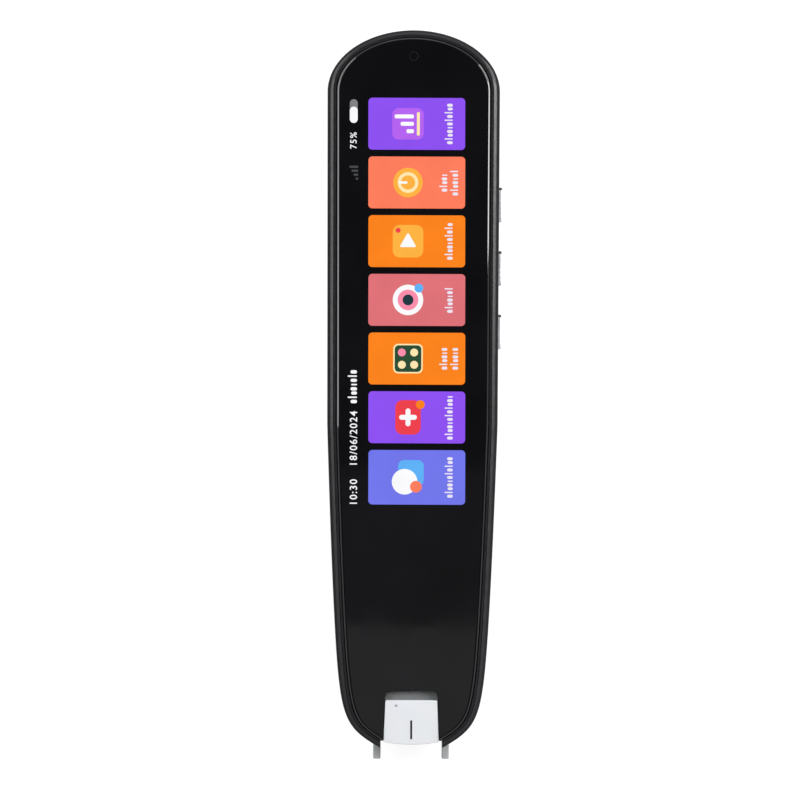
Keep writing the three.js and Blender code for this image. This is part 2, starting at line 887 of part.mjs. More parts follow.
// The display's flat lead folds through the plate and lands on its connector
function displayFlex() {
  const high = panelBottom + panelThickness / 2;
  const low = boardTop + displayConnectorHeight;
  const fold = panelEndY - displayFlexReach + 2 * flexThickness;
  const t = flexThickness;
  const inner = fold + t;
  return extrudeAcross([
    [panelEndY, high],
    [panelEndY, high + t],
    [inner, high + t],
    [fold, high],
    [fold, low + t],
    [inner, low],
    [displayConnectorY, low],
    [displayConnectorY, low + t],
    [inner + t, low + t],
    [inner, low + 2 * t],
    [inner, high - t / 2],
    [inner + t / 2, high],
  ], displayFlexWidth);
}

function speakerGasket() {
  const outer = roundedShape(speakerWidth, speakerLength, speakerRadius);
  outer.holes.push(roundedShape(
    speakerWidth - 2 * speakerGasketWidth, speakerLength - 2 * speakerGasketWidth, speakerRadius / 2));
  return extrude(outer, speakerGasketThickness);
}

// A ring of points round a stadium in the XZ plane, for the port
function portRing(grow, y) {
  return stadium(portWidth / 2 + grow, portHeight / 2 + grow, portCornerSteps)
    .map(([x, z]) => new THREE.Vector3(x, y, z));
}

function stadium(halfLong, halfShort, steps) {
  const points = [];
  for (const side of [-1, 1]) {
    for (let step = 0; step <= 2 * steps; step++) {
      const angle = side * Math.PI / 2 + Math.PI * step / (2 * steps);
      points.push([
        -side * (halfLong - halfShort) + halfShort * Math.cos(angle),
        halfShort * Math.sin(angle),
      ]);
    }
  }
  return points;
}

// A solid stadium bar along Y
function portTube(grow, length) {
  return loft([portRing(grow, length), portRing(grow, 0)]);
}

function portShell() {
  return loft([
    portRing(0, portLength),
    portRing(0, 0),
    portRing(-portWall, 0),
    portRing(-portWall, portLength),
  ], true);
}

// The moulded core of the port: a base block with the contact tongue
function portCore() {
  const base = portTube(-portWall - keySeatGap, portCoreLength);
  const tongue = box(
    [-portTongueWidth / 2, 0, -portTongueThickness / 2],
    [portTongueWidth / 2, portLength - portTongueSetback, portTongueThickness / 2]);
  return join(base, [tongue]);
}

function aerialLead() {
  const start = new THREE.Vector3(aerialWidth / 2 - 2 * leadRadius, 0, aerialThickness);
  const end = new THREE.Vector3(start.x + leadReach, 0, boardBottom - coverWall);
  const middle = (start.z + end.z) / 2;
  const path = new THREE.CubicBezierCurve3(
    start,
    new THREE.Vector3(start.x, 0, middle),
    new THREE.Vector3(end.x, 0, middle),
    end);
  const section = new THREE.Shape();
  section.absarc(0, 0, leadRadius, 0, 2 * Math.PI);
  return new THREE.ExtrudeGeometry(section, { steps: 10, extrudePath: path, curveSegments: leadSides / 2 });
}

// Side keys: a stadium cap that passes the frame, on a flange that stays inside

function keyRing(inset, x) {
  return stadium(keyLength / 2 - inset, keyHeight / 2 - inset, keyCornerSteps)
    .map(([y, z]) => new THREE.Vector3(x, y, z));
}

function keyPrism(grow, depth) {
  return loft([keyRing(-grow, 0), keyRing(-grow, depth)]);
}

function sideKey(y) {
  const seat = halfWidthAt(y, frameWall) - keySeatGap;
  const face = halfWidthAt(y) + keyProud;
  const depth = face - seat;
  const cap = loft([
    keyRing(0, -keyFlangeThickness / 2),
    keyRing(0, depth - keyEdge),
    keyRing(keyEdge, depth),
  ]);
  const halfFlange = keyLength / 2 + keyFlangeOverhang;
  const flange = box(
    [-keyFlangeThickness, -halfFlange, keySeatGap - keyHeight / 2],
    [0, halfFlange, keyHeight / 2 - keySeatGap]);
  return join(cap, [flange]);
}

function keySwitch() {
  const reach = plungerGrip + keyTravel + headStopGap;
  const halfY = keyPlungerWidth / 2 + pocketClearance;
  const halfZ = keyPlungerHeight / 2 + pocketClearance;
  const middle = keyZ - boardTop;
  const pocket = box(
    [keySwitchDepth / 2 - reach, -halfY, middle - halfZ],
    [keySwitchDepth, halfY, middle + halfZ]);
  return cut(block(keySwitchDepth, keySwitchLength, keySwitchHeight), [pocket]);
}

// Places of the repeated and stacked pieces

const scanWallEndY = noseBackY - scanWallGap;
const plungerZ = bridgeBottom + (bridgeThickness - plungerHeight) / 2;
const windowBottom = sillZ + windowClearance * 2;
const windowY = noseFrontY + noseBow + sillLength;

const scanBoardFrontY = tipY + scanBoardToTip;
const scanBoardBackY = scanBoardFrontY + scanBoardLength;
const scanBoardBottom = coverWall + scanBoardRise;
const scanBoardTop = scanBoardBottom + scanBoardThickness;

const boardEndY = tipY + boardToHead;
const plungerOut = headTravel + headStopGap + plungerGrip;
const plateEndY = bridgeBackY + plungerOut;
const panelTopY = crownY - panelToCrown;
const panelEndY = panelTopY - panelLength;
const panelHalf = halfWidthAt(panelEndY, frameWall + lugWidth + panelClearance);
const displayConnectorY = panelEndY + partSpacing;

const speakerY = crownY - speakerFromCrown - speakerLength / 2;
const batteryConnectorY = speakerY - speakerLength / 2 - cradleThickness - cradleClearance - partSpacing / 2;
const batteryTopY = batteryConnectorY - batteryConnectorLength - batteryTabLength;
const batteryEndY = boardEndY + batteryToBoardEnd;
const batteryLength = batteryTopY - batteryEndY;

const portY = crownY - portRecess - portLength;
const portZ = boardBottom - portHeight / 2;
const microphoneY = crownY - microphoneFromCrown;
const microphoneZ = boardBottom - microphoneHeight / 2;
const aerialY = crownY - aerialFromCrown;

const keySwitchHeight = partsRoom + plateThickness - keyHeadroom;
const keyZ = boardTop + keySwitchHeight / 2 + keySeatGap;
const keyYs = [0, 1, 2].map(index => crownY - keyFromCrown - index * keyPitch);
const keySeatX = halfWidthAt(keyYs[2], frameWall) - keySeatGap - keyFlangeThickness;
const keySwitchX = keySeatX - keyPlungerLength + plungerGrip - keySwitchDepth;

const plateScrewPlaces = plateScrewShares.flatMap(share => {
  const y = tipY + bodyLength * share;
  const x = halfWidthAt(y, frameWall + lugWidth / 2);
  return [{ x, y }, { x: -x, y }];
});

const boardScrewPlaces = [boardEndY + boardScrewMargin, crownY - boardScrewToCrown].flatMap(y => {
  const x = halfWidthAt(y, frameWall + boardClearance + boardScrewInset);
  return [{ x, y }, { x: -x, y }];
});
const crownScrewX = boardScrewPlaces[2].x;
const microphoneX = crownScrewX - screwHeadRadius - microphoneScrewGap - microphoneWidth / 2;

// The scene graph

const translator = new THREE.Group();

function add(name, material, geometry, x = 0, y = 0, z = 0, parent = translator) {
  const mesh = new THREE.Mesh(geometry, material);
  mesh.name = name;
  mesh.position.set(x, y, z);
  parent.add(mesh);
}

function addShells() {
  add('back_cover', materials.coverBlack, backCover());
  add('front_frame', materials.frameBlack, frontFrame());
  add('front_glass', materials.glassBlack, frontGlass());
  add('glass_gasket', materials.adhesive, glassGasket());
}

function addDisplay() {
  const y = (panelTopY + panelEndY) / 2;
  const sheet = block(2 * (panelHalf - panelClearance), panelLength - 2 * panelClearance, adhesiveThickness);
  const panel = block(2 * panelHalf, panelLength, panelThickness);
  const connector = block(displayConnectorWidth, displayConnectorLength, displayConnectorHeight);
  const connectorY = displayConnectorY - displayConnectorLength / 2;
  const sensor = rod(sensorRadius, ledgeTop - plateTop);
  add('display_adhesive', materials.adhesive, sheet, 0, y, ledgeTop);
  add('display_panel', materials.screen, panel, 0, y, panelBottom);
  add('display_flex', materials.amber, displayFlex());
  add('display_connector', materials.chip, connector, 0, connectorY, boardTop);
  add('front_sensor', materials.chip, sensor, 0, crownY - sensorFromCrown, plateTop);
}

function addChassis() {
  add('chassis_plate', materials.steel, chassisPlate());
  plateScrewPlaces.forEach(({ x, y }, index) => {
    const shank = plateThickness + lugHeight / 2;
    add(`plate_screw_${index + 1}`, materials.steel, screw(shank), x, y, plateBottom);
  });
}

function addBoard() {
  add('main_board', materials.board, mainBoard());
  boardScrewPlaces.forEach(({ x, y }, index) => {
    const shank = boardThickness + partsRoom / 2;
    add(`board_screw_${index + 1}`, materials.steel, screw(shank), x, y, boardBottom);
  });
  const shieldY = displayConnectorY + partSpacing + shieldLength / 2;
  const memoryY = shieldY + (shieldLength + memoryLength) / 2 + partSpacing;
  const radioY = memoryY + (memoryLength + radioLength) / 2 + partSpacing;
  const pad = block(shieldWidth / 2, shieldLength / 2, partsRoom - shieldHeight);
  add('shield_can', materials.shield, block(shieldWidth, shieldLength, shieldHeight), 0, shieldY, boardTop);
  add('thermal_pad', materials.foam, pad, 0, shieldY, boardTop + shieldHeight);
  add('memory_chip', materials.chip, block(memoryWidth, memoryLength, memoryHeight), 0, memoryY, boardTop);
  add('radio_module', materials.shield, block(radioWidth, radioLength, radioHeight), 0, radioY, boardTop);
}

function addBattery() {
  const y = (batteryTopY + batteryEndY) / 2;
  const margin = 2 * batteryRadius;
  const pad = block(batteryWidth - margin, batteryLength - margin, batteryPadThickness);
  const cell = extrude(roundedShape(batteryWidth, batteryLength, batteryRadius), batteryThickness);
  const tab = block(batteryTabWidth, batteryTabLength, batteryTabThickness);
  const connector = block(batteryConnectorWidth, batteryConnectorLength, batteryConnectorHeight);
  const connectorY = batteryConnectorY - batteryConnectorLength / 2;
  const connectorZ = boardBottom - batteryConnectorHeight;
  add('battery_pad', materials.foam, pad, 0, y, coverWall);
  add('battery', materials.battery, cell, 0, y, batteryBottom);
  const tabZ = connectorZ + batteryTabThickness;
  add('battery_tab', materials.amber, tab, 0, batteryTopY + batteryTabLength / 2, tabZ);
  add('battery_connector', materials.white, connector, 0, connectorY, connectorZ);
}

function addSpeaker() {
  const z = coverWall + speakerGasketThickness;
  const top = z + speakerThickness;
  const contact = block(contactSize, contactSize, boardBottom - top);
  add('speaker_gasket', materials.foam, speakerGasket(), 0, speakerY, coverWall);
  const shape = roundedShape(speakerWidth, speakerLength, speakerRadius);
  add('speaker', materials.chip, extrude(shape, speakerThickness), 0, speakerY, z);
  add('speaker_contact_left', materials.copper, contact, -contactSpacing / 2, speakerY, top);
  add('speaker_contact_right', materials.copper, contact, contactSpacing / 2, speakerY, top);
}

function addCrownParts() {
  const microphone = block(microphoneWidth, microphoneLength, microphoneHeight);
  const middleY = microphoneY - microphoneLength / 2;
  const z = boardBottom - microphoneHeight;
  add('port_shell', materials.steel, portShell(), 0, portY, portZ);
  add('port_core', materials.chip, portCore(), 0, portY, portZ);
  add('microphone_left', materials.shield, microphone, -microphoneX, middleY, z);
  add('microphone_right', materials.shield, microphone, microphoneX, middleY, z);
  add('aerial', materials.copper, block(aerialWidth, aerialLength, aerialThickness), 0, aerialY, coverWall);
  add('aerial_lead', materials.chip, aerialLead(), 0, aerialY, coverWall);
}

// Each key is a group on the frame's inner wall, and its pieces reach inwards from there
function addKeys() {
  const plunger = block(keyPlungerLength, keyPlungerWidth, keyPlungerHeight);
  const plungerX = -keyFlangeThickness - keyPlungerLength / 2;
  const switchX = plungerGrip - keyFlangeThickness - keyPlungerLength - keySwitchDepth / 2;
  keyYs.forEach((y, index) => {
    const key = new THREE.Group();
    key.position.set(halfWidthAt(y, frameWall) - keySeatGap, y, keyZ);
    translator.add(key);
    add(keyNames[index], materials.key, sideKey(y), 0, 0, 0, key);
    add(`key_plunger_${index + 1}`, materials.white, plunger, plungerX, 0, -keyPlungerHeight / 2, key);
    add(`key_switch_${index + 1}`, materials.chip, keySwitch(), switchX, 0, boardTop - keyZ, key);
  });
}

function addScanHead() {
  add('scan_nose', materials.white, scanNose());
  add('scan_foot', materials.frost, scanFoot());
  add('scan_window', materials.darkWindow, scanWindow(), 0, windowY + windowThickness / 2, windowBottom);
  const board = block(scanBoardWidth, scanBoardLength, scanBoardThickness);
  add('scan_board', materials.board, board, 0, scanBoardFrontY + scanBoardLength / 2, scanBoardBottom);
  const cameraY = scanBoardBackY - partSpacing - cameraSize / 2;
  const lensZ = scanBoardTop + cameraHeight / 2;
  add('scan_camera', materials.chip, block(cameraSize, cameraSize, cameraHeight), 0, cameraY, scanBoardTop);
  add('scan_lens', materials.chip, scanLens(), 0, cameraY - cameraSize / 2, lensZ);
  const light = block(lightWidth, lightLength, lightHeight);
  const lightX = (scanBoardWidth - lightWidth) / 2 - panelGap;
  const lightY = scanBoardFrontY + lightLength;
  add('scan_light_left', materials.light, light, -lightX, lightY, scanBoardTop);
  add('scan_light_right', materials.light, light, lightX, lightY, scanBoardTop);
  add('scan_flex', materials.amber, scanFlex());
  add('scan_switch', materials.chip, scanSwitch(), 0, plateEndY + scanSwitchLength / 2, plateTop);
  const plungerLength = plungerOut + plungerGrip;
  const plunger = block(plungerWidth, plungerLength, plungerHeight);
  add('scan_plunger', materials.white, plunger, 0, bridgeBackY + plungerLength / 2, plungerZ);
}

addShells();
addDisplay();
addChassis();
addBoard();
addBattery();
addSpeaker();
addCrownParts();
addKeys();
addScanHead();

export default translator;
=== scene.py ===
import json
import math

import bmesh
import bpy
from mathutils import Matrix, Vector
from mathutils.geometry import interpolate_bezier


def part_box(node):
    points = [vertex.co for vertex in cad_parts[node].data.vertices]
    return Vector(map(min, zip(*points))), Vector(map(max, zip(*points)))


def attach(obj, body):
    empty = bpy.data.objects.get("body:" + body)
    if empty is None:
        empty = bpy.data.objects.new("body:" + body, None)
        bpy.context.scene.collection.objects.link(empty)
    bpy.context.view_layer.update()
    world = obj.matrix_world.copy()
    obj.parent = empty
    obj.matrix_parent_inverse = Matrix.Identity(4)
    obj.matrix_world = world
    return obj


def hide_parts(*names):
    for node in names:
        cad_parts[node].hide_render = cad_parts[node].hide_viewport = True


# Looks of a handheld pen-style translator that lies on its back, screen up.
# Pieces are modelled in millimetres and brought to metres when they are finished.

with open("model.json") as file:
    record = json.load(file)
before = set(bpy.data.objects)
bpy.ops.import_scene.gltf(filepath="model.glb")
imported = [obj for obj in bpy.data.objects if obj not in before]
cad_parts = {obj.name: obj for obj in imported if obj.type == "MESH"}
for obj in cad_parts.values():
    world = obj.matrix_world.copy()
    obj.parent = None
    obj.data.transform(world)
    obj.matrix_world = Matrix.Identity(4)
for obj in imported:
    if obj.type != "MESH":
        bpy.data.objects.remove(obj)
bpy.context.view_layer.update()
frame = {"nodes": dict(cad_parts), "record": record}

MM = 0.001


def node_box(node):
    """Lowest and highest corner of a CAD node, in millimetres."""
    low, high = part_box(node)
    return low / MM, high / MM


def node_middle(node):
    low, high = node_box(node)
    return (low + high) / 2


# Body outline, with the same shape values as the construction
BODY_LENGTH = 145.6
CROWN_DEPTH = 12.5
STRAIGHT_LENGTH = 67.5
TAPER_LENGTH = 50.0
STRAIGHT_NARROWING = 0.2
HEAD_WIDTH = 29.9
PRONG_SPAN = 13.9
PRONG_DROP = 0.3
TAPER_PULL = 11.0
HEAD_PULL = 10.0
TIP_PULL = 6.5
TAPER_LEAN_SHARE = 0.03
HEAD_LEAN_SHARE = 0.1
TIP_ANGLE = math.radians(60)
CROWN_STEPS = 30
STRAIGHT_STEPS = 6
TAPER_STEPS = 16
HEAD_STEPS = 16
TIP_STEPS = 6

HALF_WIDTH = node_box("back_cover")[1].x
CROWN_Y = node_box("front_frame")[1].y
TIP_Y = CROWN_Y - BODY_LENGTH
SHOULDER_Y = CROWN_Y - CROWN_DEPTH
TAPER_Y = SHOULDER_Y - STRAIGHT_LENGTH
HEAD_Y = TAPER_Y - TAPER_LENGTH

# Heights of the shells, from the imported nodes
SEAM_Z = node_box("front_frame")[0].z
RIM_Z = node_box("front_frame")[1].z
GLASS_BOTTOM = node_box("front_glass")[0].z
GLASS_TOP = node_box("front_glass")[1].z
LEDGE_Z = node_box("glass_gasket")[0].z

# Back cover
BACK_ROUND_WIDTH = 4.2
BACK_ROUND_HEIGHT = 5.0
BACK_ROUND_STEPS = 12
COVER_WALL = 1.4
TIP_RISE = 3.2
TIP_RISE_LENGTH = 24.8
TIP_RISE_STEPS = 14
SEAM_CHAMFER = 0.13
HOLDING_EDGE = 0.06
MICROPHONE_HOLE = 0.4
GRILLE_HOLE = 0.5
GRILLE_PITCH = 2.2
GRILLE_ROWS = 5
GRILLE_COLUMNS = 3
NET_MARGIN = 1.2
NET_FLOOR = 0.02
NET_TOP = 0.12
NET_ROUND = 0.8

# Front frame
SHOULDER_CORNER = 1.0
SHOULDER_CORNER_STEPS = 5
SHOULDER_CREST = 2.68
SHOULDER_CREST_STEPS = 6
SHOULDER_TURN = math.radians(48)
SHOULDER_END = math.radians(23)
GROOVE_DEPTH = 0.16
GROOVE_WALL = 0.04
GROOVE_SLOPE = 0.16
RIM_EDGE = 0.15
RIM_STEP_SHARES = [(1 / 3, 0.1), (2 / 3, 0.9)]
GLASS_INSET = 1.95
GLASS_GAP = 0.15
GLASS_END_TRIM = 0.35
LEDGE_WIDTH = 0.8
LEDGE_THICKNESS = 0.9
FRAME_WALL = 1.5
LIP_WALL = 0.85
LIP_HEIGHT = 0.9

# Front glass, its notch and the sensor's ring on it
PICTURE_LAYER = 0.02
PICTURE_LAYERS = 4
PICTURE_SINK = 0.01
GLASS_FACE = GLASS_TOP - PICTURE_LAYER * PICTURE_LAYERS
GLASS_ARC = 0.78
GLASS_ARC_ANGLE = math.radians(50)
GLASS_ARC_STEPS = 8
NOTCH_END = -61.15
NOTCH_HALF = 5.35
NOTCH_FLARE = 0.45
NOTCH_RADIUS = 1.65
NOTCH_EDGE = 0.14
NOTCH_CREASE = math.radians(60)
RING_RADIUS = 0.92
RING_WIDTH = 0.13
RING_SIDES = 48

# Room for the scan head in the shells
SLOT_HALF = 6.3
SLOT_WALL = 1.0
SLOT_WALL_START = 1.1
SLOT_WALL_FOOT = 0.2
SLOT_WALL_GAP = 0.1
SEAT_START = 1.15
SEAT_THICKNESS = 0.4
LEG_ROOM = 0.2
WINDOW_ROOM = 0.3
WINDOW_ROOM_LENGTH = 5.0

# Scan head
NOSE_FALL = 0.25
NOSE_LIFT = 0.3
NOSE_BOW = 0.5
NOSE_LIP = 0.8
NOSE_FRONT_ROUND = 0.13
NOSE_EDGE = 0.08
NOSE_PLATE_BOTTOM = 10.4
NOSE_CUTS = (-4.6, -3.6, -2.4, -1.2, 0, 1.2, 2.4, 3.6, 4.6)
DIMPLE_RADIUS = 0.24
DIMPLE_X = -3.08
DIMPLE_BACK = 1.12
DIMPLE_DEPTH = 0.42
NOSE_SIDE_GAP = 0.1
NOSE_SPREAD = 0.13
NOSE_CORNER = 0.25
NOSE_CREASE = math.radians(50)
SIGHT_LENGTH = 3.9
SIGHT_WIDTH = 0.42
SIGHT_MARGIN = 1.05
SIGHT_DEPTH = 0.3
SIGHT_GAP = 0.01
SIGHT_SINK = 0.03
LEG_WIDTH = 1.55
LEG_HEIGHT = 2.2
LEG_ROUND = 0.3
ARM_LENGTH = 4.0
ARM_INSET = 0.3
BRIDGE_THICKNESS = 1.5
SHELF_LENGTH = 3.0
SHELF_OVERLAP = 0.5

# Side keys
KEY_CLEARANCE = 0.15
KEY_EDGE = 0.22
FLANGE_THICKNESS = 0.6
FLANGE_INSET = 0.05
KEY_LENGTH = 7.0
# Each key's dark end is painted shade: a thin black piece at its crown-side end that stands for the shaded
# gap there
KEY_SHADE_END = 0.5
KEY_SHADE_DEPTH = 0.4
KEY_SHADE_LAYER = 0.03
KEY_NAMES = ["power_key", "volume_up_key", "volume_down_key"]
KEY_BODIES = ["power", "volume_up", "volume_down"]

# Charging port
PORT_ROOM = Vector((0.18, 6, 0.1))
PORT_WALL = 0.3
PORT_GAP = 0.05
PORT_BASE = 2.2
PORT_STEPS = 16
TONGUE_WIDTH = 6.7
TONGUE_HALF_HEIGHT = 0.35
TONGUE_START = 0.5
TONGUE_ROUND = 0.3
CONTACT_COUNT = 10
CONTACT_HALF = Vector((0.14, 1.5, 0.02))
CONTACT_BACK = 1.9
CONTACT_ROUND = 0.1

# How near a face or an edge is to a place that it is said to be at, what is taken off a full round,
# within what points are joined, how much of a face's direction lies along the way that it looks, or at
# most on an upright one, and how far a cutting shape reaches past a face, the tip and everything
NEAR = 0.01
TINY = 0.001
SAME_PLACE = 0.0005
FACING_SHARE = 0.9
UPRIGHT_SHARE = 0.5
PAST_FACE = 2.0
PAST_TIP = 4.0
PAST_ALL = 20.0


# Working on one piece at a time

def deselect_all():
    bpy.ops.object.select_all(action="DESELECT")


def take(piece):
    """Makes a piece the only chosen one."""
    deselect_all()
    piece.select_set(True)
    bpy.context.view_layer.objects.active = piece


def settle():
    """Carries the chosen object's place, turn and size over to its mesh."""
    bpy.ops.object.transform_apply(location=True, rotation=True, scale=True)


def add_shape(add, **settings):
    """Adds a basic shape with an operator and leaves it the only chosen one."""
    deselect_all()
    add(**settings)
    return bpy.context.object


def add_circle(sides, radius, place):
    """Adds a filled circle."""
    return add_shape(
        bpy.ops.mesh.primitive_circle_add, vertices=sides, radius=radius, fill_type="NGON", location=place)


def new_piece(name):
    """The piece that was just added, with its name and its place in its mesh."""
    piece = bpy.context.object
    piece.name = name
    settle()
    return piece


def open_piece(piece, whole=False):
    """Opens a piece in edit mode with nothing or all of it chosen."""
    take(piece)
    bpy.ops.object.mode_set(mode="EDIT")
    bpy.ops.mesh.select_mode(type="FACE")
    bpy.ops.mesh.select_all(action="SELECT" if whole else "DESELECT")


def close_piece():
    """Joins the points that share a place, turns every face outwards and leaves edit mode."""
    bpy.ops.mesh.select_mode(type="FACE")
    bpy.ops.mesh.select_all(action="SELECT")
    bpy.ops.mesh.remove_doubles(threshold=SAME_PLACE)
    bpy.ops.mesh.normals_make_consistent(inside=False)
    bpy.ops.object.mode_set(mode="OBJECT")


def choose(kind, wanted):
    """Chooses the faces or edges of the open piece for which wanted is true."""
    bpy.ops.mesh.select_mode(type=kind)
    bpy.ops.mesh.select_all(action="DESELECT")
    data = bpy.context.edit_object.data
    mesh = bmesh.from_edit_mesh(data)
    mesh.normal_update()
    for part in mesh.faces if kind == "FACE" else mesh.edges:
        if wanted(part):
            part.select_set(True)
    bmesh.update_edit_mesh(data)


def face_at(axis, place, way):
    """A test for the faces that look one way along an axis, at a place on it."""
    def wanted(face):
        middle = face.calc_center_median()
        return face.normal[axis] * way > FACING_SHARE and abs(middle[axis] - place) < NEAR
    return wanted


def middle_of(edge):
    return (edge.verts[0].co + edge.verts[1].co) / 2


def reach_of(edge, axis):
    """How far an edge goes along an axis."""
    return abs(edge.verts[0].co[axis] - edge.verts[1].co[axis])


def lift(x=0.0, y=0.0, z=0.0):
    """Draws the chosen face out by a distance."""
    bpy.ops.mesh.extrude_region_move(TRANSFORM_OT_translate={"value": (x, y, z)})


def step_in(width, rise=0.0):
    """Draws the chosen face in all round, and along its own direction."""
    bpy.ops.mesh.inset(thickness=width, depth=rise, use_even_offset=True)


def step_in_less(width, rise, end_share):
    """Draws the chosen face in, by a share less at the body's two ends than at its sides."""
    step_in(width, rise)
    bpy.ops.transform.resize(value=(1, 1 + end_share * width / CROWN_Y, 1), center_override=(0, 0, 0))


def round_piece(piece, wanted, radius, steps, kind="EDGE"):
    """Rounds a piece's edges, or the rims of its faces, for which wanted is true."""
    open_piece(piece)
    choose(kind, wanted)
    bpy.ops.mesh.bevel(offset=radius, segments=steps, affect="EDGES")
    close_piece()


def slice_open_piece(place, way, **settings):
    """Cuts all of the open piece along a plane."""
    bpy.ops.mesh.select_all(action="SELECT")
    bpy.ops.mesh.bisect(plane_co=place, plane_no=way, **settings)


def arc_size(width, start, end, height=None):
    """How far in and up an arc goes as its slope turns; without a height it is round."""
    return width * (math.sin(start) - math.sin(end)), (height or width) * (math.cos(end) - math.cos(start))


def arc_over(width, start, end, steps, end_share=0.0, height=None):
    """Carries the chosen face in and up over an arc."""
    for step in range(steps):
        here = start + (end - start) * step / steps
        there = start + (end - start) * (step + 1) / steps
        step_in_less(*arc_size(width, here, there, height), end_share)


def bridge_openings():
    """Takes the chosen faces out and bridges the two open loops that are left."""
    bpy.ops.mesh.delete(type="FACE")
    choose("EDGE", lambda edge: edge.is_boundary)
    bpy.ops.mesh.bridge_edge_loops()


def apply_modifier(piece, kind, **settings):
    take(piece)
    modifier = piece.modifiers.new(kind.lower(), kind)
    for setting, value in settings.items():
        setattr(modifier, setting, value)
    bpy.ops.object.modifier_apply(modifier=modifier.name)


def shape_with(piece, tool, operation="DIFFERENCE"):
    """Cuts a piece with a tool shape, or joins them, and removes the tool."""
    apply_modifier(piece, "BOOLEAN", object=tool, operation=operation, solver="EXACT")
    bpy.data.objects.remove(tool)


def rounded_box(name, low, high, radius=0.0, along="Z", steps=8):
    """A cube from corner to corner, with the edges along one axis rounded."""
    low, high = Vector(low), Vector(high)
    add_shape(bpy.ops.mesh.primitive_cube_add, size=1, location=(low + high) / 2, scale=high - low)
    piece = new_piece(name)
    if radius:
        round_piece(piece, lambda edge: reach_of(edge, "XYZ".index(along)) > TINY, radius, steps)
    return piece


def cut_box(piece, low, high, **rounding):
    shape_with(piece, rounded_box("room", low, high, **rounding))


def add_box(piece, low, high, **rounding):
    shape_with(piece, rounded_box("block", low, high, **rounding), "UNION")


def rod(name, radius, start, length, along="Z", sides=24):
    """A cylinder from a start point along an axis."""
    turn = (math.pi / 2 if along == "Y" else 0, 0, 0)
    middle = Vector(start)
    middle["XYZ".index(along)] += length / 2
    add_shape(
        bpy.ops.mesh.primitive_cylinder_add, vertices=sides, radius=radius, depth=length,
        location=middle, rotation=turn)
    return new_piece(name)


def join_pieces(pieces, name):
    deselect_all()
    for piece in pieces:
        piece.select_set(True)
    bpy.context.view_layer.objects.active = pieces[0]
    bpy.ops.object.join()
    pieces[0].name = name
    return pieces[0]


def copy_piece(piece, name, move):
    """A copy with its own mesh, moved to its place."""
    take(piece)
    bpy.ops.object.duplicate(linked=False)
    bpy.context.object.location += Vector(move)
    return new_piece(name)


def finish_piece(piece, slot, replaced=(), body="body", smooth=35.0):
    """Smooths a modelled piece and brings it to metres; a bare one gets its slot's finish."""
    take(piece)
    bpy.ops.object.shade_smooth_by_angle(angle=math.radians(smooth))
    apply_modifier(piece, "WEIGHTED_NORMAL", keep_sharp=True)
    piece.scale = (MM, MM, MM)
    take(piece)
    settle()
    if not any(piece.data.materials):
        piece.data.materials.clear()
        piece.data.materials.append(FINISHES[slot])
    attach(piece, body)
    if replaced:
        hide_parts(*replaced)


# The body outline

def body_outline():
    """Places round the body, counter-clockwise seen from the front, each with the way out."""
    straight_start = Vector((HALF_WIDTH, SHOULDER_Y))
    straight_end = Vector((HALF_WIDTH - STRAIGHT_NARROWING, TAPER_Y))
    head_start = Vector((HEAD_WIDTH / 2, HEAD_Y))
    head_end = Vector((PRONG_SPAN / 2, TIP_Y + PRONG_DROP))
    tip_way = Vector((-math.sin(TIP_ANGLE), -math.cos(TIP_ANGLE)))
    tip_radius = head_end.x / math.cos(TIP_ANGLE)
    tip_middle = head_end.y + tip_radius * math.sin(TIP_ANGLE)
    right = []
    for step in range(CROWN_STEPS):
        turn = math.pi / 2 * step / CROWN_STEPS
        right.append(Vector((HALF_WIDTH * math.sin(turn), SHOULDER_Y + CROWN_DEPTH * math.cos(turn))))
    for step in range(STRAIGHT_STEPS):
        right.append(straight_start.lerp(straight_end, step / STRAIGHT_STEPS))
    taper_pull = Vector((-TAPER_PULL * TAPER_LEAN_SHARE, -TAPER_PULL))
    head_pull = Vector((-HEAD_PULL * HEAD_LEAN_SHARE, -HEAD_PULL))
    taper = [straight_end, straight_end + taper_pull, head_start - head_pull, head_start]
    head = [head_start, head_start + head_pull, head_end - tip_way * TIP_PULL, head_end]
    right += interpolate_bezier(*taper, TAPER_STEPS + 1)[:-1]
    right += interpolate_bezier(*head, HEAD_STEPS + 1)[:-1]
    for step in range(TIP_STEPS + 1):
        turn = TIP_ANGLE + (math.pi / 2 - TIP_ANGLE) * step / TIP_STEPS
        right.append(Vector((tip_radius * math.cos(turn), tip_middle - tip_radius * math.sin(turn))))
    right = [Vector((point.x, point.y)) for point in right]
    left = [Vector((-point.x, point.y)) for point in right[1:-1]]
    points = left + right[::-1]
    outline = []
    for index, point in enumerate(points):
        along = points[(index + 1) % len(points)] - points[index - 1]
        outline.append((point, Vector((along.y, -along.x)).normalized()))
    return outline


OUTLINE = body_outline()


def outline_face(name, inset, height, facing=1, end_trim=0.0):
    """Adds a filled circle, pulls its points onto the outline and leaves its face chosen."""
    piece = add_circle(len(OUTLINE), HALF_WIDTH, (0, 0, 0))
    piece.name = name
    for vertex, (point, way_out) in zip(piece.data.vertices, OUTLINE):
        place = point - way_out * (inset - end_trim * way_out.y ** 2)
        vertex.co = (place.x, place.y, height)
    piece.data.update()
    looks_up = piece.data.polygons[0].normal.z > 0
    open_piece(piece, whole=True)
    if looks_up != (facing > 0):
        bpy.ops.mesh.flip_normals()
    return piece


def chamfer_seam(piece):
    """Breaks a shell's outer edge at the seam between the cover and the frame."""
    def wanted(edge):
        middle = middle_of(edge)
        if abs(middle.z - SEAM_Z) > NEAR or reach_of(edge, 2) > TINY:
            return False
        return any(
            abs(face.normal.z) < UPRIGHT_SHARE and face.normal.x * middle.x + face.normal.y * middle.y > 0
            for face in edge.link_faces)
    round_piece(piece, wanted, SEAM_CHAMFER, steps=2)


# Shells

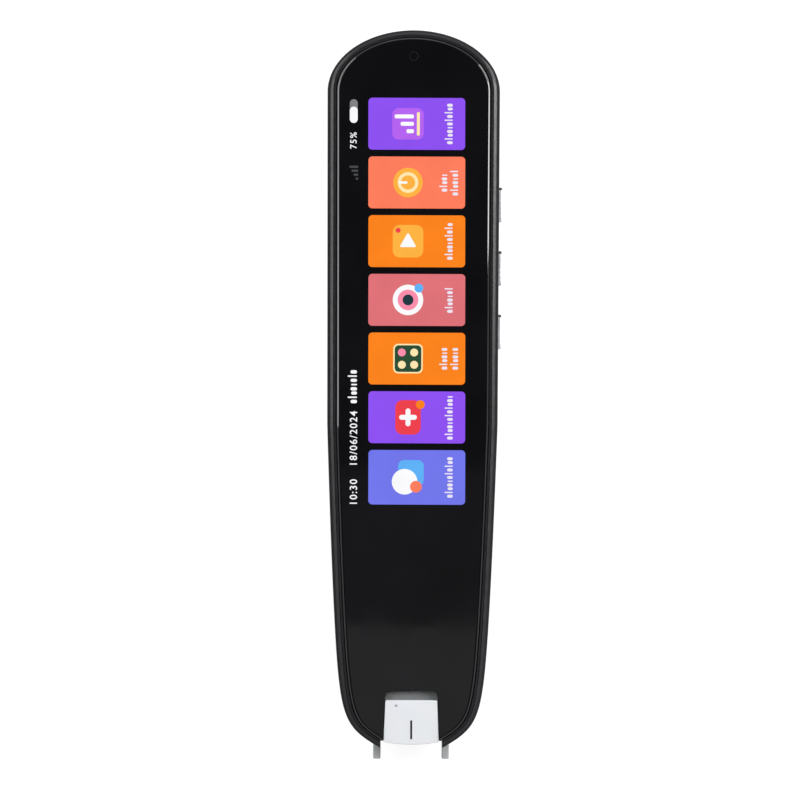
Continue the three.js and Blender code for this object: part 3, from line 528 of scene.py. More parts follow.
def model_front_frame():
    opening = GLASS_INSET - GLASS_GAP
    end_share = GLASS_END_TRIM / (opening - RIM_EDGE)
    corner_width, corner_height = arc_size(SHOULDER_CORNER, math.pi / 2, SHOULDER_TURN)
    crest_width, crest_height = arc_size(SHOULDER_CREST, SHOULDER_TURN, SHOULDER_END)
    lip_width = opening - RIM_EDGE - corner_width - crest_width - GROOVE_WALL - GROOVE_SLOPE
    piece = outline_face("frame_shell", 0.0, SEAM_Z)
    lift(z=RIM_Z - corner_height - crest_height - SEAM_Z)
    arc_over(SHOULDER_CORNER, math.pi / 2, SHOULDER_TURN, SHOULDER_CORNER_STEPS, end_share)
    arc_over(SHOULDER_CREST, SHOULDER_TURN, SHOULDER_END, SHOULDER_CREST_STEPS, end_share)
    step_in_less(GROOVE_WALL, -GROOVE_DEPTH, end_share)
    step_in_less(GROOVE_SLOPE, GROOVE_DEPTH, end_share)
    step_in_less(lip_width, 0.0, end_share)
    for in_share, down_share in RIM_STEP_SHARES:
        step_in(RIM_EDGE * in_share, -RIM_EDGE * down_share)
    lift(z=LEDGE_Z - (RIM_Z - RIM_EDGE))
    step_in(LEDGE_WIDTH)
    close_piece()
    open_piece(piece)
    choose("FACE", face_at(2, SEAM_Z, -1))
    step_in(LIP_WALL)
    lift(z=LIP_HEIGHT)
    step_in(FRAME_WALL - LIP_WALL)
    lift(z=LEDGE_Z - LEDGE_THICKNESS - LEDGE_WIDTH - SEAM_Z - LIP_HEIGHT)
    step_in(opening + LEDGE_WIDTH - FRAME_WALL, -LEDGE_WIDTH)
    choose("FACE", lambda face: len(face.verts) == len(OUTLINE))
    bridge_openings()
    close_piece()
    chamfer_seam(piece)
    wall_half = SLOT_HALF + SLOT_WALL
    wall_end = node_box("scan_nose")[1].y - SLOT_WALL_GAP
    wall_start = TIP_Y + SLOT_WALL_START
    add_box(piece, (-wall_half, wall_start, SEAM_Z + SLOT_WALL_FOOT), (wall_half, wall_end, LEDGE_Z - NEAR))
    cut_box(piece, (-SLOT_HALF, TIP_Y - PAST_TIP, 0), (SLOT_HALF, NOTCH_END, PAST_ALL))
    for key in KEY_NAMES:
        low, high = node_box(key)
        middle = (low + high) / 2
        half_height = (high.z - low.z) / 2 + KEY_CLEARANCE
        half_length = KEY_LENGTH / 2 + KEY_CLEARANCE
        room = Vector(((high.x - low.x) / 2 + PAST_FACE, half_length, half_height))
        cut_box(piece, middle - room, middle + room, radius=half_height, along="X")
    finish_piece(piece, "frame_plastic", ["front_frame"], smooth=28)


def back_rise(y):
    """How far the back rises towards the scan tip."""
    share = min(max((TIP_Y + TIP_RISE_LENGTH - y) / TIP_RISE_LENGTH, 0.0), 1.0)
    return TIP_RISE * share ** 2


def back_hull(name, inset, floor, top):
    """The closed shape of the back, drawn in by a wall, with its floor and its top at their heights."""
    piece = outline_face(name, inset, top, facing=-1)
    lift(z=BACK_ROUND_HEIGHT - top)
    height = BACK_ROUND_HEIGHT - floor
    arc_over(BACK_ROUND_WIDTH - inset, math.pi / 2, 0, BACK_ROUND_STEPS, height=height)
    step_in(HOLDING_EDGE)
    for step in range(TIP_RISE_STEPS):
        y = TIP_Y + TIP_RISE_LENGTH * (step + 1.5) / (TIP_RISE_STEPS + 0.5)
        choose("FACE", lambda face: face.calc_center_median().z < BACK_ROUND_HEIGHT - NEAR)
        bpy.ops.mesh.bisect(plane_co=(0, y, 0), plane_no=(0, 1, 0))
    close_piece()
    for vertex in piece.data.vertices:
        hold_share = max(1 - (vertex.co.z - floor) / height, 0.0)
        vertex.co.z += back_rise(vertex.co.y) * hold_share
    return piece


def model_back_cover():
    piece = back_hull("cover_shell", 0.0, 0.0, SEAM_Z)
    chamfer_seam(piece)
    shape_with(piece, back_hull("cover_room", COVER_WALL, COVER_WALL, SEAM_Z + PAST_FACE))
    leg_low, leg_high = node_box("scan_foot")
    window_low, window_high = node_box("scan_window")
    room = leg_high.x + LEG_ROOM
    sill = leg_low.z - LEG_ROOM
    seat_y = TIP_Y + SEAT_START
    add_box(piece, (-room, seat_y, sill - SEAT_THICKNESS), (room, window_high.y, window_low.z))
    for low_x, high_x in ((-room, window_low.x - LEG_ROOM), (window_high.x + LEG_ROOM, room)):
        cut_box(piece, (low_x, TIP_Y - PAST_TIP, sill), (high_x, TIP_Y + BACK_ROUND_HEIGHT, PAST_ALL))
    cut_box(
        piece, (window_low.x - WINDOW_ROOM, TIP_Y - PAST_TIP, window_low.z),
        (window_high.x + WINDOW_ROOM, TIP_Y + WINDOW_ROOM_LENGTH, PAST_ALL))
    cut_box(piece, (-SLOT_HALF, TIP_Y - PAST_TIP, -PAST_TIP), (SLOT_HALF, seat_y, PAST_ALL))
    shape_with(piece, grille_tools())
    low, high = node_box("port_shell")
    low, high = low - PORT_ROOM, high + PORT_ROOM
    cut_box(piece, low, high, radius=(high.z - low.z) / 2 - TINY, along="Y", steps=PORT_STEPS)
    for microphone in ("microphone_left", "microphone_right"):
        middle = node_middle(microphone)
        start = (middle.x, node_box(microphone)[1].y, middle.z)
        shape_with(piece, rod("sound_hole", MICROPHONE_HOLE, start, PAST_ALL, "Y"))
    finish_piece(piece, "cover_plastic", ["back_cover"], smooth=32)


def grille_tools():
    """Rods for the speaker holes, one modelled and the rest copied."""
    middle = node_middle("speaker")
    first_x = middle.x - (GRILLE_COLUMNS - 1) / 2 * GRILLE_PITCH
    first_y = middle.y - (GRILLE_ROWS - 1) / 2 * GRILLE_PITCH
    rods = [rod("grille_hole", GRILLE_HOLE, (first_x, first_y, -PAST_FACE / 2), PAST_FACE + COVER_WALL)]
    for index in range(1, GRILLE_ROWS * GRILLE_COLUMNS):
        row, column = divmod(index, GRILLE_COLUMNS)
        move = (column * GRILLE_PITCH, row * GRILLE_PITCH, 0)
        rods.append(copy_piece(rods[0], "grille_hole", move))
    return join_pieces(rods, "grille_holes")


def model_front_glass():
    piece = outline_face("glass_pane", GLASS_INSET, GLASS_BOTTOM, end_trim=GLASS_END_TRIM)
    lift(z=GLASS_FACE - GLASS_ARC * (1 - math.cos(GLASS_ARC_ANGLE)) - GLASS_BOTTOM)
    arc_over(GLASS_ARC, GLASS_ARC_ANGLE, 0, GLASS_ARC_STEPS)
    step_in(HOLDING_EDGE)
    close_piece()
    notch_start = TIP_Y - PAST_FACE
    notch = rounded_box(
        "notch", (-NOTCH_HALF, notch_start, GLASS_BOTTOM - PAST_FACE),
        (NOTCH_HALF, NOTCH_END, GLASS_TOP + PAST_FACE))
    round_piece(
        notch, lambda edge: reach_of(edge, 2) > NEAR and middle_of(edge).y > NOTCH_END - NEAR,
        NOTCH_RADIUS, steps=10)
    open_piece(notch)
    choose("FACE", face_at(1, notch_start, -1))
    bpy.ops.transform.resize(value=((NOTCH_HALF + NOTCH_FLARE) / NOTCH_HALF, 1, 1))
    close_piece()
    shape_with(piece, notch)

    def on_notch(edge):
        x, y, z = middle_of(edge)
        beside = abs(x) < NOTCH_HALF + NOTCH_FLARE and y < NOTCH_END + NOTCH_EDGE
        return beside and abs(z - GLASS_FACE) < TINY and edge.calc_face_angle(0) > NOTCH_CREASE

    round_piece(piece, on_notch, NOTCH_EDGE, steps=2)
    finish_piece(piece, "black_glass", ["front_glass"], smooth=28)


def model_sensor_ring():
    """Printed ring on the glass above the front sensor."""
    middle = node_middle("front_sensor")
    place = (middle.x, middle.y, GLASS_FACE - PICTURE_SINK)
    add_circle(RING_SIDES, RING_RADIUS, place)
    piece = new_piece("sensor_ring")
    open_piece(piece, whole=True)
    lift(z=PICTURE_SINK + PICTURE_LAYER / 2)
    close_piece()
    open_piece(piece)
    choose("FACE", lambda face: abs(face.normal.z) > FACING_SHARE)
    step_in(RING_WIDTH)
    choose("FACE", lambda face: abs(face.normal.z) > FACING_SHARE and len(face.verts) == RING_SIDES)
    bridge_openings()
    close_piece()
    ink = moulded("ring_ink", (0.012, 0.012, 0.013), 0.1, 0.2)
    piece.data.materials.append(ink.material)
    finish_piece(piece, "adhesive")


def model_grille_net():
    """Woven net behind the speaker holes, inside the speaker's gasket."""
    low, high = node_box("speaker_gasket")
    piece = rounded_box(
        "speaker_net", (low.x + NET_MARGIN, low.y + NET_MARGIN, low.z + NET_FLOOR),
        (high.x - NET_MARGIN, high.y - NET_MARGIN, low.z + NET_TOP), radius=NET_ROUND, along="Z", steps=4)
    piece.data.materials.append(net_finish().material)
    finish_piece(piece, "foam")


# Scan head

def nose_box():
    """The nose's box, with its top plate a little prouder than the construction's."""
    low, high = node_box("scan_nose")
    return low, high + Vector((0, 0, NOSE_LIFT))


def model_nose():
    low, high = nose_box()
    back_half = NOTCH_HALF - NOSE_SIDE_GAP
    front_half = high.x + NOSE_SPREAD
    piece = rounded_box(
        "scan_nose_plate", (-back_half, low.y, NOSE_PLATE_BOTTOM), (back_half, high.y, high.z))
    round_piece(
        piece, lambda edge: middle_of(edge).y > high.y - NEAR and reach_of(edge, 2) > NEAR,
        NOSE_CORNER, steps=4)
    open_piece(piece)
    choose("FACE", face_at(1, low.y, -1))
    bpy.ops.transform.resize(value=(front_half / back_half, 1, 1))
    choose("EDGE", lambda edge: middle_of(edge).y < low.y + NEAR and middle_of(edge).z > high.z - NEAR)
    bpy.ops.transform.translate(value=(0, 0, -NOSE_FALL))
    cuts = [((x, 0, 0), (1, 0, 0)) for x in NOSE_CUTS]
    for place, way in cuts + [((0, low.y + NOSE_LIP + NOSE_BOW, 0), (0, 1, 0))]:
        slice_open_piece(place, way)
    choose("FACE", lambda face: (
        face.normal.z < -FACING_SHARE and face.calc_center_median().y < low.y + NOSE_LIP))
    lift(z=low.z - NOSE_PLATE_BOTTOM)
    close_piece()
    for vertex in piece.data.vertices:
        if vertex.co.y < low.y + NEAR:
            vertex.co.y += NOSE_BOW * (vertex.co.x / front_half) ** 2

    def on_front(edge):
        middle = middle_of(edge)
        at_top = middle.z > high.z - NOSE_FALL - NEAR
        return at_top and middle.y < low.y + NOSE_BOW + NEAR and reach_of(edge, 0) > NEAR

    round_piece(piece, on_front, NOSE_FRONT_ROUND, steps=6)
    shape_with(piece, sight_bar("sight_groove", SIGHT_WIDTH, high.z + 1))
    dimple_place = (DIMPLE_X, high.y - DIMPLE_BACK, high.z - DIMPLE_DEPTH)
    shape_with(piece, rod("index_dimple", DIMPLE_RADIUS, dimple_place, PAST_FACE, sides=16))
    apply_modifier(
        piece, "BEVEL", width=NOSE_EDGE, segments=4, limit_method="ANGLE", angle_limit=NOSE_CREASE)
    finish_piece(piece, "white_plastic", ["scan_nose"], "scan_head", smooth=32)


def sight_bar(name, width, top):
    """An upright bar with round ends that stands in the nose's sight groove."""
    low, high = nose_box()
    start = low.y + SIGHT_MARGIN
    bottom = high.z - NOSE_FALL - SIGHT_DEPTH + SIGHT_MARGIN * NOSE_FALL / (high.y - low.y)
    return rounded_box(
        name, (-width / 2, start, bottom), (width / 2, start + SIGHT_LENGTH, top), radius=width / 2 - TINY)


def model_sight_line():
    low, high = nose_box()
    fall_share = NOSE_FALL / (high.y - low.y)
    piece = sight_bar("sight_line", SIGHT_WIDTH - 2 * SIGHT_GAP, high.z)
    for vertex in piece.data.vertices:
        if vertex.co.z > high.z - NEAR:
            vertex.co.z = high.z - (high.y - vertex.co.y) * fall_share - SIGHT_SINK
    paint = moulded("sight_paint_black", (0.006, 0.006, 0.007), 0.35, 0.5)
    piece.data.materials.append(paint.material)
    finish_piece(piece, "chip_plastic", body="scan_head")


def model_foot():
    low, high = node_box("scan_foot")
    nose_back = node_box("scan_nose")[1].y
    plate_half = NOTCH_HALF - NOSE_SIDE_GAP
    bridge_bottom = high.z - BRIDGE_THICKNESS
    piece = rounded_box("scan_foot_bridge", (low.x, nose_back, bridge_bottom), high)
    add_box(
        piece, (-plate_half, nose_back - SHELF_LENGTH, bridge_bottom),
        (plate_half, nose_back + SHELF_OVERLAP, NOSE_PLATE_BOTTOM))
    for inner, outer in ((low.x, low.x + LEG_WIDTH), (high.x - LEG_WIDTH, high.x)):
        arm_start = (inner, high.y - ARM_LENGTH, low.z + ARM_INSET)
        add_box(piece, arm_start, (outer, high.y, high.z - ARM_INSET))
        leg = rounded_box(
            "leg", (inner, low.y, low.z), (outer, high.y, low.z + LEG_HEIGHT),
            radius=LEG_ROUND, along="Y", steps=4)
        round_piece(leg, lambda edge: middle_of(edge).y < low.y + NEAR, LEG_ROUND, steps=4)
        shape_with(piece, leg, "UNION")
    finish_piece(piece, "frosted_plastic", ["scan_foot"], "scan_head")


# Keys on the side

def model_keys():
    low, high = node_box(KEY_NAMES[0])
    middle = (low + high) / 2
    half_height = (high.z - low.z) / 2
    cap = rounded_box(
        "key_cap", (low.x + FLANGE_THICKNESS / 2, middle.y - KEY_LENGTH / 2, low.z),
        (high.x - KEY_SHADE_LAYER, middle.y + KEY_LENGTH / 2, high.z),
        radius=half_height - TINY, along="X", steps=14)
    round_piece(cap, face_at(0, high.x - KEY_SHADE_LAYER, 1), KEY_EDGE, steps=4, kind="FACE")
    flange_end = (low.x + FLANGE_THICKNESS, high.y, high.z - FLANGE_INSET)
    add_box(cap, (low.x, low.y, low.z + FLANGE_INSET), flange_end)
    # Painted shade: a thin black end piece on the key's crown-side end stands for the shaded gap there
    end = copy_piece(cap, "key_shade_end", (0, 0, 0))
    open_piece(end)
    end_start = (HALF_WIDTH - KEY_SHADE_DEPTH, middle.y + KEY_LENGTH / 2 - KEY_SHADE_END, 0)
    for way in ((0, 1, 0), (1, 0, 0)):
        slice_open_piece(end_start, way, use_fill=True, clear_inner=True)
    bpy.ops.mesh.select_all(action="SELECT")
    bpy.ops.transform.shrink_fatten(value=KEY_SHADE_LAYER)
    close_piece()
    for key, body in zip(KEY_NAMES, KEY_BODIES):
        move = node_box(key)[1] - high
        finish_piece(copy_piece(cap, key + "_cap", move), "key_metal", [key], body)
        finish_piece(copy_piece(end, key + "_end", move), "chip_plastic", body=body)
    bpy.data.objects.remove(cap)
    bpy.data.objects.remove(end)


# Charging port in the crown

def model_port_sleeve():
    low, high = node_box("port_shell")
    radius = (high.z - low.z) / 2 - TINY
    piece = rounded_box("port_sleeve", low, high, radius=radius, along="Y", steps=PORT_STEPS)
    open_piece(piece)
    choose("FACE", lambda face: abs(face.normal.y) > FACING_SHARE)
    step_in(PORT_WALL)
    choose("FACE", lambda face: abs(face.normal.y) > FACING_SHARE and len(face.verts) > PORT_STEPS)
    bridge_openings()
    close_piece()
    finish_piece(piece, "steel", ["port_shell"])


def model_port_tongue():
    low, high = node_box("port_shell")
    core_low, core_high = node_box("port_core")
    middle_z = (low.z + high.z) / 2
    inset = PORT_WALL + PORT_GAP
    piece = rounded_box(
        "port_tongue", (low.x + inset, core_low.y, low.z + inset),
        (high.x - inset, core_low.y + PORT_BASE, high.z - inset),
        radius=(high.z - low.z) / 2 - inset - TINY, along="Y", steps=12)
    add_box(
        piece, (-TONGUE_WIDTH / 2, core_low.y + TONGUE_START, middle_z - TONGUE_HALF_HEIGHT),
        (TONGUE_WIDTH / 2, core_high.y, middle_z + TONGUE_HALF_HEIGHT), radius=TONGUE_ROUND, steps=4)
    finish_piece(piece, "chip_plastic", ["port_core"])


def model_port_contacts():
    """Two rows of contacts on the tongue, one modelled and the rest copied."""
    pitch = TONGUE_WIDTH / (CONTACT_COUNT + 0.5)
    middle_z = node_middle("port_shell").z
    contact_y = node_box("port_core")[1].y - CONTACT_BACK
    places = [
        Vector(((index - (CONTACT_COUNT - 1) / 2) * pitch, contact_y, middle_z + side * TONGUE_HALF_HEIGHT))
        for side in (-1, 1) for index in range(CONTACT_COUNT)]
    first = rounded_box(
        "contact", places[0] - CONTACT_HALF, places[0] + CONTACT_HALF, radius=CONTACT_ROUND, steps=3)
    copies = [copy_piece(first, "contact", place - places[0]) for place in places[1:]]
    finish_piece(join_pieces([first, *copies], "port_contacts"), "contact_metal")


# Finishes

# Sockets of the colour mixing node
MIX_COLOUR_A = 6
MIX_COLOUR_B = 7
MIX_COLOUR_RESULT = 2

# What the wave node's scale is multiplied by to set the pitch of its lines
WAVE_PERIOD = math.pi / 10


def linear(value):
    """A colour channel from 0 to 255, as light."""
    value = value / 255
    return value / 12.92 if value <= 0.04045 else ((value + 0.055) / 1.055) ** 2.4


def scaled(colour, share):
    return tuple(share * channel for channel in colour)


def fill(tree, node, inputs):
    """Sets or links a node's inputs; a name in small letters is a setting of the node itself."""
    for name, value in inputs.items():
        if isinstance(name, str) and name.islower():
            setattr(node, name, value)
            continue
        socket = node.inputs[name.replace("_", " ") if isinstance(name, str) else name]
        if isinstance(value, bpy.types.NodeSocket):
            tree.links.new(value, socket)
        else:
            socket.default_value = value


def wire(tree, kind, result, **inputs):
    """Adds a shader node and returns one of its outputs."""
    node = tree.nodes.new("ShaderNode" + kind)
    fill(tree, node, inputs)
    return node.outputs[result]


def combine(tree, operation, first, second):
    """Reckons with two values."""
    node = tree.nodes.new("ShaderNodeMath")
    fill(tree, node, {"operation": operation, 0: first, 1: second})
    return node.outputs["Value"]


class Finish:
    """A procedural material whose colour, polish and relief follow noise in the piece's own space."""

    def __init__(self, name, colour, roughness=0.5, metallic=0.0, **fixed):
        self.material = bpy.data.materials.new(name)
        self.material.use_nodes = True
        self.tree = self.material.node_tree
        self.shader = self.tree.nodes["Principled BSDF"]
        self.height = None
        self.set(Base_Color=(*colour, 1), Roughness=roughness, Metallic=metallic, **fixed)
        self.place = wire(self.tree, "TexCoord", "Object")

    def set(self, **values):
        """Sets or links inputs of the shader."""
        fill(self.tree, self.shader, values)

    def at(self, kind, result, place=None, **inputs):
        """An output of a new node that reads a place, by default in the piece's own space."""
        return wire(self.tree, kind, result, Vector=place or self.place, **inputs)

    def stretched(self, x, y, z):
        """The piece's own space, squeezed along each axis."""
        return self.at("Mapping", "Vector", Scale=(x, y, z))

    def noise(self, size, detail=3.0, place=None):
        """Soft noise whose blotches are about size millimetres wide."""
        return self.at("TexNoise", "Fac", place, Scale=1 / (size * MM), Detail=detail)

    def cells(self, size):
        """Distance to the middle of cells that are about size millimetres wide."""
        return self.at("TexVoronoi", "Distance", Scale=1 / (size * MM))

    def waves(self, pitch, axis="X", bend=0.0):
        """Lines at a pitch in millimetres."""
        scale = WAVE_PERIOD / (pitch * MM)
        return self.at("TexWave", "Fac", Scale=scale, Distortion=bend, bands_direction=axis)

    def rise(self, low, high):
        """Nothing below one height and all above another, in millimetres."""
        return self.between(self.at("SeparateXYZ", "Z"), 0, 1, low * MM, high * MM)

    def between(self, source, low, high, start=0.3, end=0.7):
        """A value between low and high as the source runs from start to end."""
        run = {"From_Min": start, "From_Max": end, "To_Min": low, "To_Max": high}
        return wire(self.tree, "MapRange", "Result", Value=source, **run)

    def tint(self, share, other):
        """Mixes the colour so far with another one."""
        base = self.shader.inputs["Base Color"]
        before = base.links[0].from_socket if base.is_linked else base.default_value
        mixed = wire(self.tree, "Mix", MIX_COLOUR_RESULT, data_type="RGBA", Factor=share)
        fill(self.tree, mixed.node, {MIX_COLOUR_A: before, MIX_COLOUR_B: (*other, 1)})
        self.set(Base_Color=mixed)

    def mottle(self, size, other, detail=3.0):
        """Mixes the colour with another one in blotches of a size in millimetres."""
        self.tint(self.between(self.noise(size, detail), 0, 1), other)

    def polish(self, source, low, high, start=0.3, end=0.7):
        """Lets the roughness run between two values with the source."""
        self.set(Roughness=self.between(source, low, high, start, end))

    def relief(self, source, depth):
        """Adds a bump of a depth in millimetres on top of those before it."""
        below = {"Normal": self.height} if self.height else {}
        self.height = wire(self.tree, "Bump", "Normal", Height=source, Distance=depth * MM, **below)
        self.set(Normal=self.height)


def cover_finish(colour):
    """Matt black plastic with a fine moulded grain and a few scuffs."""
    finish = Finish("cover_plastic_fine_grain", colour, 0.5, IOR=1.46)
    scuffs = finish.noise(1.4, 6, finish.stretched(1, 0.12, 1))
    finish.mottle(9, scaled(colour, 1.35))
    finish.tint(finish.between(scuffs, 0, 0.5, 0.62, 0.72), (0.05, 0.05, 0.053))
    finish.polish(finish.noise(4, 5), 0.44, 0.56)
    finish.relief(finish.noise(0.16, 2), 0.008)
    finish.relief(finish.cells(0.3), 0.004)
    return finish


# Heights below the rim between which the frame's flank turns from dull to glossy
FLANK_DULL = 0.5
FLANK_GLOSSY = 0.28


def frame_finish(colour):
    """Glossy black plastic with faint ripples and rubbed spots, duller on the frame's flank."""
    deep = scaled(colour, 0.5)
    finish = Finish("frame_plastic_gloss", deep, 0.2, IOR=1.5, Specular_IOR_Level=0.19)
    finish.mottle(6, scaled(deep, 1.3))
    finish.polish(finish.noise(1.6, 6), 0.2, 0.28, 0.35, 0.7)
    gloss = finish.between(finish.rise(RIM_Z - FLANK_DULL, RIM_Z - FLANK_GLOSSY), 0.02, 0.2, 0, 1)
    finish.set(Specular_IOR_Level=gloss)
    finish.relief(finish.noise(0.5, 3), 0.0012)
    finish.relief(finish.noise(0.12, 2), 0.0006)
    return finish


def glass_finish(colour):
    """Polished black glass with faint smears and a few specks of dust."""
    colour = scaled(colour, 0.5)
    finish = Finish("black_glass_polished", colour, 0.03, IOR=1.5)
    dust = finish.between(finish.cells(12), 1, 0, 0.006, 0.012)
    finish.mottle(14, scaled(colour, 0.6))
    patches = finish.between(finish.noise(11), 0, 0.3, 0.5, 0.6)
    finish.tint(combine(finish.tree, "MULTIPLY", dust, patches), (0.3, 0.3, 0.32))
    finish.polish(finish.noise(7, 5, finish.stretched(1, 0.6, 1)), 0.018, 0.05)
    finish.relief(finish.noise(16, 1), 0.006)
    return finish


def nose_finish(colour):
    """Glossy white plastic with a faint ripple from the mould."""
    colour = scaled(colour, 0.825)
    finish = Finish(
        "nose_plastic_white", colour, 0.25, IOR=1.5, Subsurface_Weight=0.08, Subsurface_Scale=0.0008)
    finish.mottle(5, scaled(colour, 0.975))
    finish.polish(finish.noise(2.2, 3), 0.16, 0.22)
    finish.relief(finish.noise(2.5, 1), 0.002)
    finish.relief(finish.noise(0.09, 2), 0.0003)
    return finish


# Heights between which painted shade darkens the foot, from its legs up to its shelf
PAINTED_SHADE_LOW = 6
PAINTED_SHADE_HIGH = 9


def frosted_finish(colour):
    """Frosted translucent plastic of the foot, darkened by painted shade from its legs up to its shelf in the
    dark of the body.
    """
    pale = sum(colour) / 3
    colour = tuple(1.6 * (pale + 0.3 * (channel - pale)) for channel in colour)
    finish = Finish(
        "foot_plastic_frosted", colour, 0.4, IOR=1.49, Transmission_Weight=0.25,
        Subsurface_Weight=0.3, Subsurface_Scale=0.0012)
    finish.mottle(1.6, scaled(colour, 0.9))
    # Painted shade: the colour darkens with height, towards the shelf that sits recessed under the glass
    finish.tint(finish.rise(PAINTED_SHADE_LOW, PAINTED_SHADE_HIGH), scaled(colour, 0.37))
    finish.polish(finish.noise(0.8, 4), 0.32, 0.5)
    finish.relief(finish.noise(0.1, 2), 0.003)
    return finish


def key_finish(colour):
    """Pale silver paint over blasted metal, with fine scratches along the keys."""
    colour = scaled(colour, 1.35)
    finish = Finish("key_metal_blasted", colour, 0.4, metallic=0.35)
    scratches = finish.noise(0.3, 5, finish.stretched(1, 0.08, 1))
    finish.tint(finish.between(finish.noise(0.5, 5), 0, 1, 0.4, 0.75), scaled(colour, 0.62))
    finish.polish(scratches, 0.34, 0.5)
    finish.relief(finish.cells(0.11), 0.006)
    finish.relief(scratches, 0.002)
    return finish


def lit_finish(name, colour):
    """A lit colour of the screen behind polished glass, faintly uneven."""
    light = [linear(channel) for channel in colour]
    finish = Finish("lit_" + name, (0.004, 0.004, 0.005), 0.03, IOR=1.5)
    finish.set(Emission_Color=(*light, 1), Emission_Strength=1.0)
    finish.set(Emission_Strength=finish.between(finish.noise(5, 1), 0.97, 1.03))
    finish.polish(finish.noise(7, 5), 0.018, 0.05)
    finish.relief(finish.noise(16, 1), 0.006)
    return finish


def moulded(name, colour, low=0.4, high=0.6, metallic=0.0, grain=0.2, depth=0.006, patch_share=1.3):
    """A plain moulded or pressed finish: mottled colour, uneven polish and a fine grain."""
    finish = Finish(name, colour, (low + high) / 2, metallic)
    finish.mottle(2.5, tuple(min(patch_share * channel, 1) for channel in colour), 4)
    finish.polish(finish.noise(1.1, 5), low, high)
    finish.relief(finish.noise(grain, 3), depth)
    return finish


def board_finish(colour):
    """Green solder mask over copper runs, with gold pads."""
    finish = moulded("board_mask_green", colour, 0.28, 0.42, grain=0.4, depth=0.004)
    runs = finish.between(finish.waves(0.9, "DIAGONAL", 3.0), 0, 0.5, 0.6, 0.7)
    finish.tint(runs, scaled(colour, 2.1))
    finish.tint(finish.between(finish.cells(2.4), 0.9, 0, 0.1, 0.14), (0.6, 0.42, 0.15))
    finish.relief(runs, 0.02)
    return finish


def brushed(name, colour, squeeze, low, high):
    """Rolled or brushed metal with lines along one axis."""
    finish = Finish(name, colour, (low + high) / 2, 1.0)
    lines = finish.noise(0.25, 6, finish.stretched(*squeeze))
    finish.mottle(3, scaled(colour, 0.8), 4)
    finish.polish(lines, low, high)
    finish.relief(lines, 0.004)
    return finish


def foil_finish(colour):
    """Pouch foil of the battery, slightly creased."""
    finish = Finish("battery_pouch_foil", colour, 0.35, 0.85)
    finish.mottle(4, scaled(colour, 1.4), 5)
    finish.polish(finish.noise(1.4, 5), 0.28, 0.5)
    finish.relief(finish.cells(1.1), 0.05)
    finish.relief(finish.noise(0.3, 3), 0.01)
    return finish


def net_finish():
    """Woven black net behind the speaker holes."""
    finish = Finish("speaker_net_black", (0.02, 0.02, 0.02), 0.6)
    finish.tint(finish.between(finish.waves(0.28), 0, 0.6, 0.4, 0.8), (0.06, 0.06, 0.065))
    finish.polish(finish.noise(1.0), 0.45, 0.7)
    for axis in "XY":
        finish.relief(finish.waves(0.28, axis), 0.05)
    return finish


OWN_FINISHES = {
    "cover_plastic": cover_finish,
    "frame_plastic": frame_finish,
    "black_glass": glass_finish,
    "board_laminate": board_finish,
    "battery_foil": foil_finish,
    "white_plastic": nose_finish,
    "frosted_plastic": frosted_finish,
    "key_metal": key_finish,
}

# Name, least and greatest roughness, and what else differs from the plain moulded finish
MOULDED_FINISHES = {
    "adhesive": ("adhesive_black", 0.6, 0.8, {}),
    "display": ("display_dark", 0.05, 0.15, {"grain": 3.0, "depth": 0.002}),
    "amber_film": ("film_amber", 0.2, 0.35, {"grain": 0.8}),
    "chip_plastic": ("chip_black", 0.4, 0.6, {}),
    "foam": ("foam_black", 0.8, 0.95, {"grain": 0.25, "depth": 0.06, "patch_share": 1.8}),
    "window_plastic": ("window_dark", 0.04, 0.1, {"grain": 2.0, "depth": 0.002}),
    "light_plastic": ("light_yellow", 0.3, 0.45, {}),
    "contact_metal": ("contact_gold", 0.2, 0.35, {"metallic": 1.0, "grain": 0.3, "depth": 0.003}),
}

# Name, how the lines are squeezed along each axis, least and greatest roughness
BRUSHED_FINISHES = {
    "plate_metal": ("plate_rolled", (1, 0.06, 1), 0.25, 0.45),
    "steel": ("steel_satin", (0.2, 1, 1), 0.22, 0.36),
    "shield_metal": ("shield_tinned", (0.3, 1, 1), 0.3, 0.5),
}


def make_finishes():
    """One finish for each slot of the record, in the record's colour."""
    finishes = {}
    for material in frame["record"]["materials"]:
        slot = material["slot"]
        colour = tuple(material["base_color"][:3])
        if slot in OWN_FINISHES:
            finish = OWN_FINISHES[slot](colour)
        elif slot in MOULDED_FINISHES:
            name, low, high, rest = MOULDED_FINISHES[slot]
            finish = moulded(name, colour, low, high, **rest)
        else:
            name, squeeze, low, high = BRUSHED_FINISHES[slot]
            finish = brushed(name, colour, squeeze, low, high)
        finishes[slot] = finish.material
    return finishes


FINISHES = make_finishes()


def dress_cad_nodes():
    """Gives each CAD node the finish of its slot in the record."""
    for part in frame["record"]["subparts"]:
        data = frame["nodes"][part["node"]].data
        data.materials.clear()
        data.materials.append(FINISHES[part["material_slot"]])


# Picture on the screen. It reads from the scan tip to the crown: u runs along +Y, v runs along -X.

# Lit colours as a screen names them, from 0 to 255
LIT_COLOURS = {
    "violet": (140, 79, 240),
    "coral": (252, 124, 90),
    "orange": (251, 130, 18),
    "rose": (222, 112, 119),
    "periwinkle": (112, 117, 235),
    "lilac": (180, 98, 240),
    "amber": (253, 178, 62),
    "cream": (255, 232, 176),
    "white": (250, 250, 252),
    "pale": (236, 230, 244),
    "sky": (92, 176, 244),
    "ink": (28, 52, 62),
    "forest": (38, 74, 48),
    "pink": (250, 140, 170),
    "red": (238, 62, 74),
    "grey": (128, 128, 130),
    "dim": (70, 71, 74),
}

LIT = {name: lit_finish(name, colour).material for name, colour in LIT_COLOURS.items()}

# The lit panel sits a quarter degree askew, turned about this place
PICTURE_LEAN = 0.0041
LEAN_START = 18.0

CORNER_STEPS = 8
ARROW_CORNER_SHARE = 0.2
ARROW_CORNER_STEPS = 4

